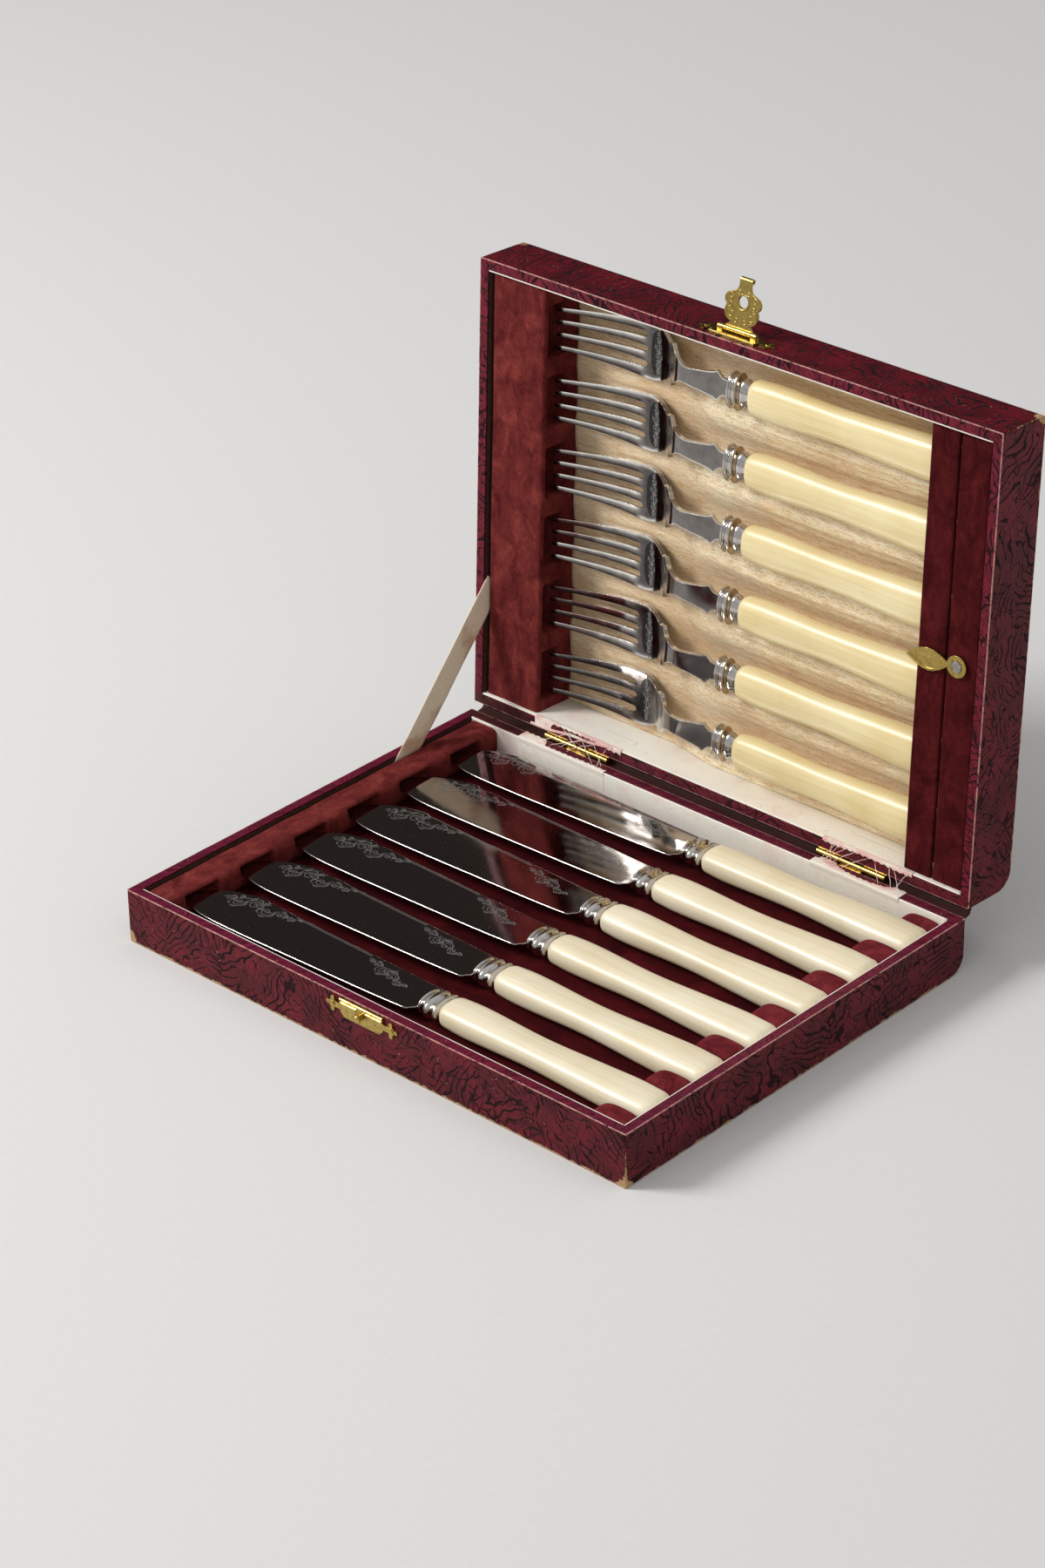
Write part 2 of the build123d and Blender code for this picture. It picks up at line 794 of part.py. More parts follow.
def spine_strip():
    """Leatherette strip from the base's back wall round behind the hinges to the lid's back wall."""
    turned = radians(open_angle)
    half = spine_thickness / 2
    below_lid = half + spine_lid_gap
    wall_y = half_depth + half
    low = hinge_z - knuckle_radius - leaf_thickness - spine_tail
    turn = rim_board - leaf_thickness - spine_thickness
    lid_corner_y = hinge_y - hinge_behind * cos(turned) + (lid_rim - hinge_z) * sin(turned)
    lid_corner_z = hinge_z + hinge_behind * sin(turned) + (lid_rim - hinge_z) * cos(turned)
    fall = -tan(turned - pi / 2)
    back_y = hinge_y + knuckle_radius + spine_reach

    def under_lid(y):
        return lid_corner_z + (y - lid_corner_y) * fall - below_lid

    points = [
        (wall_y, low),
        (wall_y, turn - spine_thickness),
        (wall_y + spine_thickness, turn),
        (back_y - spine_thickness, turn + spine_thickness),
        (back_y, hinge_z),
        (back_y + spine_thickness, under_lid(back_y + spine_thickness)),
        (back_y + spine_lid_tail, under_lid(back_y + spine_lid_tail)),
    ]
    path = Polyline(*points)
    section = offset(path, half, side=Side.BOTH, closed=True)
    length = case_width - 2 * spine_end_gap
    return extrude(across(-length / 2) * make_face(section), length)


def stay_ribbon():
    """Flat tape between the left walls of base and lid, tucked down behind each rack."""
    turned = radians(open_angle)
    foot = Vector(half_depth - stay_base_from_hinge, base_height)
    reach_y = lid_y(stay_lid_from_hinge) - hinge_y
    reach_z = lid_rim - hinge_z
    head = Vector(
        hinge_y + reach_y * cos(turned) + reach_z * sin(turned),
        hinge_z - reach_y * sin(turned) + reach_z * cos(turned),
    )
    along = (head - foot).normalized()
    side = Vector(-along.Y, along.X) * (stay_width / 2)
    low = foot - along * stay_tuck
    high = head + along * stay_tuck
    corners = [low - side, high - side, high + side, low + side]
    tape = Polygon(*[(corner.X, corner.Y) for corner in corners], align=None)
    left = -inner_x + (rack_wall_gap - stay_thickness) / 2
    return extrude(across(left) * tape, stay_thickness)


def lock_eye(side):
    """Pierced trefoil at one end of a lock plate, round a pin, in the plate's own plane."""
    middle = lock_pin_x
    eye = Pos(side * middle, 0) * RegularPolygon(lock_eye_radius, small_sides)
    for turn in (-90, 0, 90):
        reach = Location((side * middle, 0), (0, 0, turn if side > 0 else 180 - turn))
        eye += reach * Pos(lock_lobe_reach, 0) * RegularPolygon(lock_lobe_radius, tiny_sides)
    neck_length = lock_eye_reach
    eye += Pos(side * (middle - neck_length / 2), 0) * Rectangle(neck_length, lock_neck_height)
    return eye


def lock_plate():
    """Outline of the catch plate and of the hasp's plate, with its lower corners cut off."""
    half_x = lock_plate_length / 2
    half_y = lock_plate_height / 2
    outline = Polygon(
        (-half_x, half_y),
        (-half_x, lock_plate_chamfer - half_y),
        (lock_plate_chamfer - half_x, -half_y),
        (half_x - lock_plate_chamfer, -half_y),
        (half_x, lock_plate_chamfer - half_y),
        (half_x, half_y),
        align=None,
    )
    for side in (-1, 1):
        outline += lock_eye(side)
        outline -= Pos(side * lock_pin_x, 0) * RegularPolygon(lock_pin_radius, tiny_sides)
    return outline


def lock_pin(side):
    """Headed brass pin in a trefoil, with the plate's face at z = 0 and its head above."""
    shank = peg(lock_pin_radius, -lock_pin_length, 0, tiny_sides)
    head = peg(lock_pin_head_radius, 0, lock_pin_head, small_sides)
    return Pos(side * lock_pin_x, 0, 0) * (shank + head)


def ridge(x_low, x_high, y):
    """Pressed ridge along a plate's face."""
    height = lock_plate_thickness + ridge_half
    bar = slab(x_low, x_high, y - ridge_half, y + ridge_half, 0, height)
    return chamfer(bar.edges().filter_by(Axis.X).group_by(Axis.Z)[-1], ridge_half / 2)


front_wall = Plane(origin=(lock_middle, -half_depth, 0), x_dir=(1, 0, 0), z_dir=(0, -1, 0))
catch_plane = front_wall * Pos(0, base_height - catch_below_rim - lock_plate_height / 2, 0)
catch_plate = extrude(lock_plate(), lock_plate_thickness, dir=(0, 0, 1))
ridge_y = lock_plate_height / 2 - ridge_half
catch_plate += ridge(-lock_plate_length / 2, lock_plate_length / 2, ridge_y)
for side in (-1, 1):
    ends = sorted((side * ridge_gap / 2, side * (lock_plate_length / 2 - ridge_half)))
    catch_plate += ridge(*ends, ridge_y - ridge_pitch)
stud_y = lock_plate_height / 2 + catch_below_rim - stud_below_rim
catch_plate = catch_plane * catch_plate
catch_stud = Pos(0, stud_y, 0) * peg(
    stud_radius, lock_plate_thickness, lock_plate_thickness + stud_length, small_sides
)
stud_top = lock_plate_thickness + stud_length + stud_head
catch_head = peg(stud_head_radius, lock_plate_thickness + stud_length, stud_top, small_sides)
catch_head = chamfer(catch_head.edges().group_by(Axis.Z)[-1], stud_head / 3)
catch_stud = catch_plane * (catch_stud + Pos(0, stud_y, 0) * catch_head)
catch_pins = [catch_plane * Pos(0, 0, lock_plate_thickness) * lock_pin(side) for side in (-1, 1)]
for side in (-1, 1):
    pin_hole = peg(lock_pin_radius, lock_plate_thickness - lock_pin_length, lock_pin_length, tiny_sides)
    pin_hole = catch_plane * Pos(side * lock_pin_x, 0, 0) * pin_hole
    base_cover -= pin_hole
    base_carcass -= pin_hole

# Hasp plate on the lid's front wall: the same stamping, upside down, carrying the hasp's hinge
hasp_plane = front_wall * Pos(0, lid_z(hasp_plate_depth + lock_plate_height / 2), 0)
hasp_axis_y = hasp_axis_depth - hasp_plate_depth - lock_plate_height / 2
hasp_plate = extrude(mirror(lock_plate(), Plane.XZ), lock_plate_thickness, dir=(0, 0, 1))
hasp_plate += ridge(-lock_plate_length / 2, lock_plate_length / 2, ridge_half - lock_plate_height / 2)
bracket_inner = hasp_knuckle_length / 2 + hasp_bracket_gap
for side in (-1, 1):
    bracket_x = side * (bracket_inner + hasp_bracket_length / 2)
    half_bracket = hasp_bracket_length / 2
    barrel = Rot(0, 90, 0) * peg(hasp_knuckle_radius, -half_bracket, half_bracket, small_sides)
    hasp_plate += Pos(bracket_x, hasp_axis_y, hasp_axis_off_wall) * barrel
    hasp_plate += Pos(bracket_x, hasp_axis_y, hasp_axis_off_wall / 2) * Box(
        hasp_bracket_length, 2 * hasp_knuckle_radius, hasp_axis_off_wall
    )
hasp_bore = Rot(0, 90, 0) * peg(hasp_pin_radius, -lock_plate_length, lock_plate_length, small_sides)
hasp_plate -= Pos(0, hasp_axis_y, hasp_axis_off_wall) * hasp_bore
hasp_plate = hasp_plane * hasp_plate
pin_half = bracket_inner + hasp_bracket_length
hasp_hinge_pin = Rot(0, 90, 0) * peg(hasp_pin_radius, -pin_half, pin_half, small_sides)
hasp_hinge_pin = hasp_plane * Pos(0, hasp_axis_y, hasp_axis_off_wall) * hasp_hinge_pin
hasp_plate_pins = [hasp_plane * Pos(0, 0, lock_plate_thickness) * lock_pin(side) for side in (-1, 1)]
for side in (-1, 1):
    pin_hole = peg(lock_pin_radius, lock_plate_thickness - lock_pin_length, lock_pin_length, tiny_sides)
    pin_hole = hasp_plane * Pos(side * lock_pin_x, 0, 0) * pin_hole
    lid_cover -= pin_hole
    lid_carcass -= pin_hole


def hasp():
    """Ornate hasp hanging from its knuckle at the origin towards -Y, its face towards +Z."""
    half = [
        Line((0, 0), (hasp_strip_half_width, 0)),
        Line((hasp_strip_half_width, 0), (hasp_strip_half_width, -hasp_knuckle_radius)),
        Line((hasp_strip_half_width, -hasp_knuckle_radius), (hasp_waist[1], -hasp_waist[0])),
        ThreePointArc(
            (hasp_waist[1], -hasp_waist[0]),
            (hasp_low_lobe[1], -hasp_low_lobe[0]),
            (hasp_low_notch[1], -hasp_low_notch[0]),
        ),
        ThreePointArc(
            (hasp_low_notch[1], -hasp_low_notch[0]),
            (hasp_high_lobe[1], -hasp_high_lobe[0]),
            (hasp_high_notch[1], -hasp_high_notch[0]),
        ),
        ThreePointArc(
            (hasp_high_notch[1], -hasp_high_notch[0]),
            (hasp_throat[1], -hasp_throat[0]),
            (hasp_neck_half_width, -hasp_neck_end),
        ),
        Line((hasp_neck_half_width, -hasp_neck_end), (hasp_neck_half_width, -hasp_length)),
        Line((hasp_neck_half_width, -hasp_length), (0, -hasp_length)),
        Line((0, -hasp_length), (0, 0)),
    ]
    side = make_face(half)
    outline = side + mirror(side, Plane.YZ)
    hole_at = hasp_axis_depth + shut_gap + stud_below_rim
    low = hasp_knuckle_radius - hasp_sheet
    leaf = Pos(0, 0, low) * extrude(outline, hasp_sheet, dir=(0, 0, 1))
    rim_radius = hasp_hole_radius + hasp_hole_rim
    rim = Pos(0, -hole_at, low) * peg(rim_radius, 0, hasp_sheet + hasp_rim_proud, round_sides)
    along = Rot(0, 90, 0)
    end = Pos(0, -hasp_length, low + hasp_curl_radius) * along
    curl = end * peg(hasp_curl_radius, -hasp_neck_half_width, hasp_neck_half_width, small_sides)
    curl_bore = end * peg(hasp_curl_radius / 2, -hasp_length, hasp_length, tiny_sides)
    half_knuckle = hasp_knuckle_length / 2
    barrel = along * peg(hasp_knuckle_radius, -half_knuckle, half_knuckle, small_sides)
    bore = along * peg(hasp_pin_radius + hasp_pin_clearance, -hasp_length, hasp_length, small_sides)
    hole = Pos(0, -hole_at, 0) * peg(hasp_hole_radius, -hasp_length, hasp_length, round_sides)
    return leaf + rim + curl + barrel - curl_bore - bore - hole


hasp_standing = hasp_plane * Pos(0, hasp_axis_y, hasp_axis_off_wall) * Rot(-hasp_open_angle, 0, 0)
hasp_flap = hasp_standing * hasp()

# Turn button and its screw, drawn looking at the flap, with the flap's face at z = 0
button_plane = Plane(
    origin=(button_x, button_off_middle, lid_z(block_depth)), x_dir=(-1, 0, 0), z_dir=(0, 0, -1)
)


def leaf_shape(inset):
    """Pointed oval of the button's tongue."""
    near = button_leaf_start - button_leaf_half_width / 2 + inset
    far = button_leaf_length - 2 * inset
    points = []
    for number in range(2 * leaf_steps):
        share = number / leaf_steps
        bulge = (button_leaf_half_width - inset) * sin(pi * share)
        along = share if share < 1 else 2 - share
        points.append((near + (far - near) * along, -bulge))
    return Polygon(*points, align=None)


button_outline = leaf_shape(0) + RegularPolygon(button_eye_radius, round_sides)
button = Pos(0, 0, button_gap) * extrude(button_outline, button_thickness, dir=(0, 0, 1))
button_face = button_gap + button_thickness
button -= Pos(0, 0, button_face - button_sink) * extrude(
    leaf_shape(button_border), button_thickness, dir=(0, 0, 1)
)
button -= peg(screw_shank_radius + screw_clearance, -button_eye_radius, button_eye_radius, small_sides)
eye_floor = button_face - screw_head_seat
button -= peg(screw_head_radius + screw_clearance, eye_floor, button_eye_radius, round_sides)
turn_button = button_plane * Rot(0, 0, button_tilt) * button
screw_seat = button_face - screw_head_seat + screw_clearance / 2
screw_face = screw_seat + screw_head_height
screw = peg(screw_head_radius, screw_seat, screw_face, round_sides)
screw += peg(screw_shank_radius, screw_seat - screw_length, screw_seat, small_sides)
screw -= Pos(0, 0, screw_face) * Rot(0, 0, screw_slot_turn) * Box(
    2 * screw_head_radius + overshoot, screw_slot_width, 2 * screw_slot_depth
)
turn_button_screw = button_plane * screw
block -= button_plane * peg(screw_shank_radius, screw_seat - screw_length, screw_length, small_sides)


def pieces():
    """Every node's name with its solids."""
    nodes = {
        "base_carcass": [base_carcass],
        "base_bottom_board": [base_bottom],
        "base_leatherette": [base_cover],
        "base_lining": [base_lining],
        "base_velvet_bed": [base_bed],
        "base_tip_rack": [rack],
        "base_handle_pads": pads,
        "catch_plate": [catch_plate],
        "catch_stud": [catch_stud],
        "catch_pins": catch_pins,
        "hinge_base_leaves": [hinge_leaf(side, True) for side in (-1, 1)],
        "hinge_pins": [hinge_pin(side) for side in (-1, 1)],
        "spine_leatherette": [spine_strip()],
        "stay_ribbon": [stay_ribbon()],
        "lid_carcass": [opened(lid_carcass)],
        "lid_top_board": [opened(lid_board)],
        "lid_leatherette": [opened(lid_cover)],
        "lid_lining": [opened(strip) for strip in lid_lining],
        "lid_satin": [opened(satin)],
        "lid_tine_rack": [opened(tine_rack)],
        "lid_handle_block": [opened(block)],
        "retainer_flap": [opened(flap)],
        "hinge_lid_leaves": [opened(hinge_leaf(side, False)) for side in (-1, 1)],
        "hasp_plate": [opened(hasp_plate)],
        "hasp_plate_pins": [opened(pin) for pin in hasp_plate_pins],
        "hasp_hinge_pin": [opened(hasp_hinge_pin)],
        "turn_button_screw": [opened(turn_button_screw)],
        "hasp_flap": [opened(hasp_flap)],
        "turn_button": [opened(turn_button)],
        "fork_ferrules": [in_lid(Pos(0, 0, fork_axis_depth) * fork_ferrule, fork_neck, place)
                          for place in places],
    }
    for place in places:
        number = place + 1
        on_axis = Pos(ferrule_start, knife_y(place), knife_axis_height)
        nodes[f"knife_{number}_blade"] = [on_axis * knife_blade]
        nodes[f"knife_{number}_ferrule"] = [on_axis * knife_ferrule]
        nodes[f"knife_{number}_handle"] = [on_axis * Pos(ferrule_length, 0, 0) * knife_handle]
        nodes[f"fork_{number}"] = [in_lid(fork_body, fork_neck, place)]
        nodes[f"fork_{number}_handle"] = [
            in_lid(Pos(0, 0, fork_axis_depth) * fork_handle, fork_ferrule_end, place)
        ]
    return nodes


os.makedirs("parts", exist_ok=True)
for name, shapes in pieces().items():
    solids = [solid for shape in shapes for solid in shape.solids()]
    whole = solids[0] if len(solids) == 1 else Compound(children=solids)
    export_step(whole, f"parts/{name}.step")
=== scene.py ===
import json
import math

import bmesh
import bpy
import numpy as np
from mathutils import Matrix, Vector

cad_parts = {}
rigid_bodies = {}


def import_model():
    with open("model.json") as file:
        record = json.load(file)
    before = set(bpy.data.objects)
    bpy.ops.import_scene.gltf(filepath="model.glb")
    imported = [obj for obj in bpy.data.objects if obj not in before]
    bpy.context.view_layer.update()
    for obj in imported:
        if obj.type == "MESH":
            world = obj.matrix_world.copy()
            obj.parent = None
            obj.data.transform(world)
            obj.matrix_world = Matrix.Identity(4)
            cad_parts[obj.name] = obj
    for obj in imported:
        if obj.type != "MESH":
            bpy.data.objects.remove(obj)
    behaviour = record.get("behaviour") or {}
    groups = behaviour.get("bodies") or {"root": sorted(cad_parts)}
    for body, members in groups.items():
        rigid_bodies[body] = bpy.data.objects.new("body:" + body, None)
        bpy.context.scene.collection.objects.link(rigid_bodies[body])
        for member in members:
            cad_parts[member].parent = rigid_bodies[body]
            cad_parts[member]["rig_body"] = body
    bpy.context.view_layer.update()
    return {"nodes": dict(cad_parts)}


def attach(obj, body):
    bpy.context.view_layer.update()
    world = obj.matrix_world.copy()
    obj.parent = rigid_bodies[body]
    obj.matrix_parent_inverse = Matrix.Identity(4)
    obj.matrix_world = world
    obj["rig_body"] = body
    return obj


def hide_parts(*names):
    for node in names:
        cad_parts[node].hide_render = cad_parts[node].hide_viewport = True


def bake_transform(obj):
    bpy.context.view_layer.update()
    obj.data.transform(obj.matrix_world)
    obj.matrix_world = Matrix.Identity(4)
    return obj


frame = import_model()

# Studio. A plain pale floor under soft light: one broad lamp at the front left, pale walls, and
# one dark card behind the case for the polished silver to mirror.
floor_half, floor_height = 6.0, -0.0002
lamp_place, lamp_aim = Vector((-1.15, -1.05, 1.35)), Vector((0.0, 0.03, 0.06))
camera_place, camera_turns = (0.8611, -0.9240, 0.7762), (("Z", 43.25), ("X", 60.71), ("Z", -1.18))


def add(name, data):
    """A new object that holds a mesh, lamp or camera, put in the scene."""
    thing = bpy.data.objects.new(name, data)
    bpy.context.scene.collection.objects.link(thing)
    return thing


def paint(red, green, blue):
    """A colour as the eye sees it, 0 to 1, turned into the even scale that shaders mix in."""
    seen = np.array([red, green, blue], float)
    even = np.where(seen <= 0.04045, seen / 12.92, ((seen + 0.055) / 1.055) ** 2.4)
    return (*[float(part) for part in even], 1.0)


class Value:
    """What a shader node gives out. Reckoning with it adds Math nodes to the same tree."""

    def __init__(self, socket):
        self.socket = socket

    def __add__(self, other):
        return math_node("ADD", self, other)

    def __radd__(self, other):
        return math_node("ADD", other, self)

    def __sub__(self, other):
        return math_node("SUBTRACT", self, other)

    def __rsub__(self, other):
        return math_node("SUBTRACT", other, self)

    def __mul__(self, other):
        return math_node("MULTIPLY", self, other)

    def __abs__(self):
        return math_node("ABSOLUTE", self)


def feed(target, inputs):
    """Sets the inputs of a node, by name or number, or joins them to the values of other nodes."""
    for key, value in inputs.items():
        if isinstance(value, Value):
            target.id_data.links.new(value.socket, target.inputs[key])
        else:
            target.inputs[key].default_value = value
    return target


def node(kind, inputs, out=0, tree=None, **options):
    """A new shader node, in the tree of the values that feed it. Gives the value of its output out."""
    if tree is None:
        tree = next(value.socket.id_data for value in inputs.values() if isinstance(value, Value))
    made = tree.nodes.new("ShaderNode" + kind)
    for option, value in options.items():
        setattr(made, option, value)
    return Value(feed(made, inputs).outputs[out])


def math_node(operation, *values):
    """One arithmetic step on numbers and values."""
    return node("Math", dict(enumerate(values)), operation=operation)


def larger(first, second):
    """The larger of two at each point."""
    return math_node("MAXIMUM", first, second)


def dot(place, direction):
    """How far place lies along a direction."""
    return node("VectorMath", {0: place, 1: direction}, 1, operation="DOT_PRODUCT")


def drawn(place, *scale, turn=(0.0, 0.0, 0.0)):
    """The place turned and scaled, so that a pattern is drawn out along an axis with a small scale."""
    return node("Mapping", {0: place, 2: turn, 3: scale})


def noise(place, scale, detail, roughness=0.5, distortion=0.0, out=0):
    """Cloudy noise between 0 and 1, with about scale clouds to the millimetre."""
    return node("TexNoise", {0: place, "Scale": scale, "Detail": detail, "Roughness": roughness,
                             "Distortion": distortion}, out)


def span(value, low, high, at_low, at_high, soft=False):
    """at_low up to low, at_high from high on, and between them an even step, or a soft one."""
    step = "SMOOTHSTEP" if soft else "LINEAR"
    return node("MapRange", {0: value, 1: low, 2: high, 3: at_low, 4: at_high}, interpolation_type=step)


def fade(value, low, high):
    """1 below low, 0 above high, and an even soft step between."""
    return span(value, low, high, 1.0, 0.0, True)


def ramp(value, *stops):
    """Colours, or greys given as one number, that follow value through the stops."""
    made = value.socket.id_data.nodes.new("ShaderNodeValToRGB")
    feed(made, {0: value})
    points = made.color_ramp.elements
    points[0].position, points[1].position = stops[0][0], stops[-1][0]
    for at, _ in stops[1:-1]:
        points.new(at)
    for point, (_, shade) in zip(points, stops):
        point.color = shade if isinstance(shade, tuple) else (shade, shade, shade, 1.0)
    return Value(made.outputs[0])


def mixed(share, first, second):
    """The first colour turning into the second as share goes from 0 to 1."""
    return node("Mix", {0: share, 6: first, 7: second}, 2, data_type="RGBA")


def begin(name, shift=(0.0, 0.0, 0.0), turn=(0.0, 0.0, 0.0)):
    """An empty finish: its material, its shader, and the place on the object in millimetres."""
    material = bpy.data.materials.new(name)
    material.use_nodes = True
    spot = node("TexCoord", {}, 3, material.node_tree)
    place = node("Mapping", {0: spot, 1: shift, 2: turn, 3: (1000.0, 1000.0, 1000.0)})
    return material, material.node_tree.nodes["Principled BSDF"], place


def surface(shader, colour, roughness, relief=None, depth=0.0, strength=1.0, **more):
    """Gives the shader its colour, its roughness, a relief of that depth in metres, and what else the
    finish has, with _ for each space in the input's name."""
    feed(shader, {"Base Color": colour, "Roughness": roughness})
    feed(shader, {name.replace("_", " "): value for name, value in more.items()})
    if relief:
        feed(shader, {"Normal": node("Bump", {"Height": relief, "Distance": depth, "Strength": strength})})


paper, shader, place = begin("pale studio paper")
white = mixed(noise(place, 0.4, 3.0), paint(0.865, 0.86, 0.85), paint(0.885, 0.88, 0.87))
# Painted shade: the floor's colour turns darker grey toward the lamp, to even out the lamp's bright pool of light on
# it.
painted_shade_under_lamp = span(dot(place, (-0.73, -0.68, 0.0)), 420.0, 1500.0, 0.0, 1.0, True)
surface(shader, mixed(painted_shade_under_lamp, white, paint(0.56, 0.555, 0.55)), 0.75, Specular_IOR_Level=0.2)
floor_mesh = bpy.data.meshes.new("studio_floor")
floor_corners = [(x * floor_half, y * floor_half, floor_height) for x, y in ((-1, -1), (1, -1), (1, 1), (-1, 1))]
floor_mesh.from_pydata(floor_corners, [], [(0, 1, 2, 3)])
floor_mesh.materials.append(paper)
add("studio_floor", floor_mesh)

walls = bpy.data.worlds.new("studio walls")
bpy.context.scene.world = walls
walls.use_nodes = True
toward = node("TexCoord", {}, 0, walls.node_tree)
wall_shade = ramp(node("SeparateXYZ", {0: toward}, 2), (0.0, (0.60, 0.60, 0.61, 1.0)),
                  (0.35, (0.50, 0.50, 0.51, 1.0)), (0.9, (0.70, 0.70, 0.70, 1.0)))
card = span(dot(toward, (-0.60, 0.65, 0.47)), 0.80, 0.93, 0.0, 1.0, True)
feed(walls.node_tree.nodes["Background"], {0: mixed(card, wall_shade, (0.035, 0.028, 0.025, 1.0)), 1: 0.95})

lamp_data = bpy.data.lights.new("broad lamp", "AREA")
lamp_data.shape, lamp_data.size, lamp_data.size_y, lamp_data.energy = "RECTANGLE", 0.55, 0.8, 30.0
broad_lamp = add("broad lamp", lamp_data)
broad_lamp.location = lamp_place
broad_lamp.rotation_mode = "QUATERNION"
broad_lamp.rotation_quaternion = (lamp_place - lamp_aim).to_track_quat("Z", "Y")

camera_data = bpy.data.cameras.new("camera")
camera_data.lens, camera_data.sensor_width = 98.72, 36.0
camera_data.clip_start, camera_data.clip_end = 0.05, 30.0
camera = add("camera", camera_data)
stand = Matrix.Translation(camera_place)
for axis, degrees in camera_turns:
    stand = stand @ Matrix.Rotation(math.radians(degrees), 4, axis)
camera.matrix_world = stand
bpy.context.scene.camera = camera
bpy.context.scene.view_settings.view_transform = "Standard"

# Wooden boxes. The walls and boards of base and lid are thin limewood, glued at the corners, and
# are seen only where the covers and linings stop.
bare_wood, shader, place = begin("thin stained limewood board")
grain = noise(drawn(place, 0.05, 0.9, 0.9), 1.0, 6.0)
wood_colour = ramp(grain, (0.3, paint(0.20, 0.13, 0.09)), (0.7, paint(0.30, 0.21, 0.15)))
surface(shader, wood_colour, 0.7, grain, 0.00005)
for name in ("base_carcass", "base_bottom_board", "lid_carcass", "lid_top_board"):
    board_mesh = frame["nodes"][name].data
    board_mesh.materials.clear()
    board_mesh.materials.append(bare_wood)

# Covers. Each box is covered in wine leatherette: paper-backed cloth, pressed with long dark folds
# and a fine craze, turned over the rims and rubbed down to the board along its edges.
half_width, half_depth, base_height, lid_rim, lid_top = 115.0, 87.0, 20.6, 21.1, 44.4
hinge_y, hinge_z, open_turn = 88.75, 21.5, math.radians(93.0)
fold_colour = paint(0.12, 0.027, 0.05)
wine, wine_deep = paint(0.435, 0.08, 0.135), paint(0.32, 0.052, 0.092)
bare_board, bare_board_deep = paint(0.78, 0.66, 0.50), paint(0.62, 0.44, 0.28)
turned_edge, back_rim_colour = paint(0.84, 0.62, 0.58), paint(0.27, 0.14, 0.125)


def pressed_folds(shut):
    """The pressed pattern at a place of the shut case: long broken strokes and thin cracks that lie a
    different way in each patch, and a craze of short dashes. Gives (strokes and cracks, craze)."""
    bent = node("VectorMath", {0: noise(shut, 0.05, 2.0, out=1), 1: (18.0, 18.0, 18.0), 2: shut},
                operation="MULTIPLY_ADD")
    patch = node("TexVoronoi", {0: bent, "Scale": 0.045}, 1)
    lie = node("VectorMath", {0: patch, 1: (6.0, 6.0, 6.0)}, operation="MULTIPLY")
    lying = node("Mapping", {0: bent, 2: lie})
    broken = noise(lying, 0.32, 2.0)

    def bands(scale, distortion, fineness):
        return node("TexWave", {0: lying, "Scale": scale, "Distortion": distortion, "Detail": 3.0,
                                "Detail Scale": fineness, "Detail Roughness": 0.6}, 1)

    where_stroked = span(noise(shut, 0.10, 3.0) + broken * 0.5, 0.62, 0.90, 1.04, 0.79)
    strokes = fade(where_stroked - bands(0.125, 3.0, 1.1), -0.05, 0.05)
    crack = node("TexVoronoi", {0: drawn(lying, 0.06, 0.19, 0.19), "Scale": 1.0}, feature="DISTANCE_TO_EDGE")
    cracks = fade(crack - span(broken, 0.38, 0.68, 0.0, 0.036), -0.01, 0.012)
    craze = fade((0.30 + noise(shut, 0.9, 1.0)) - bands(0.33, 4.0, 1.5), -0.12, 0.12)
    return larger(strokes, cracks), craze


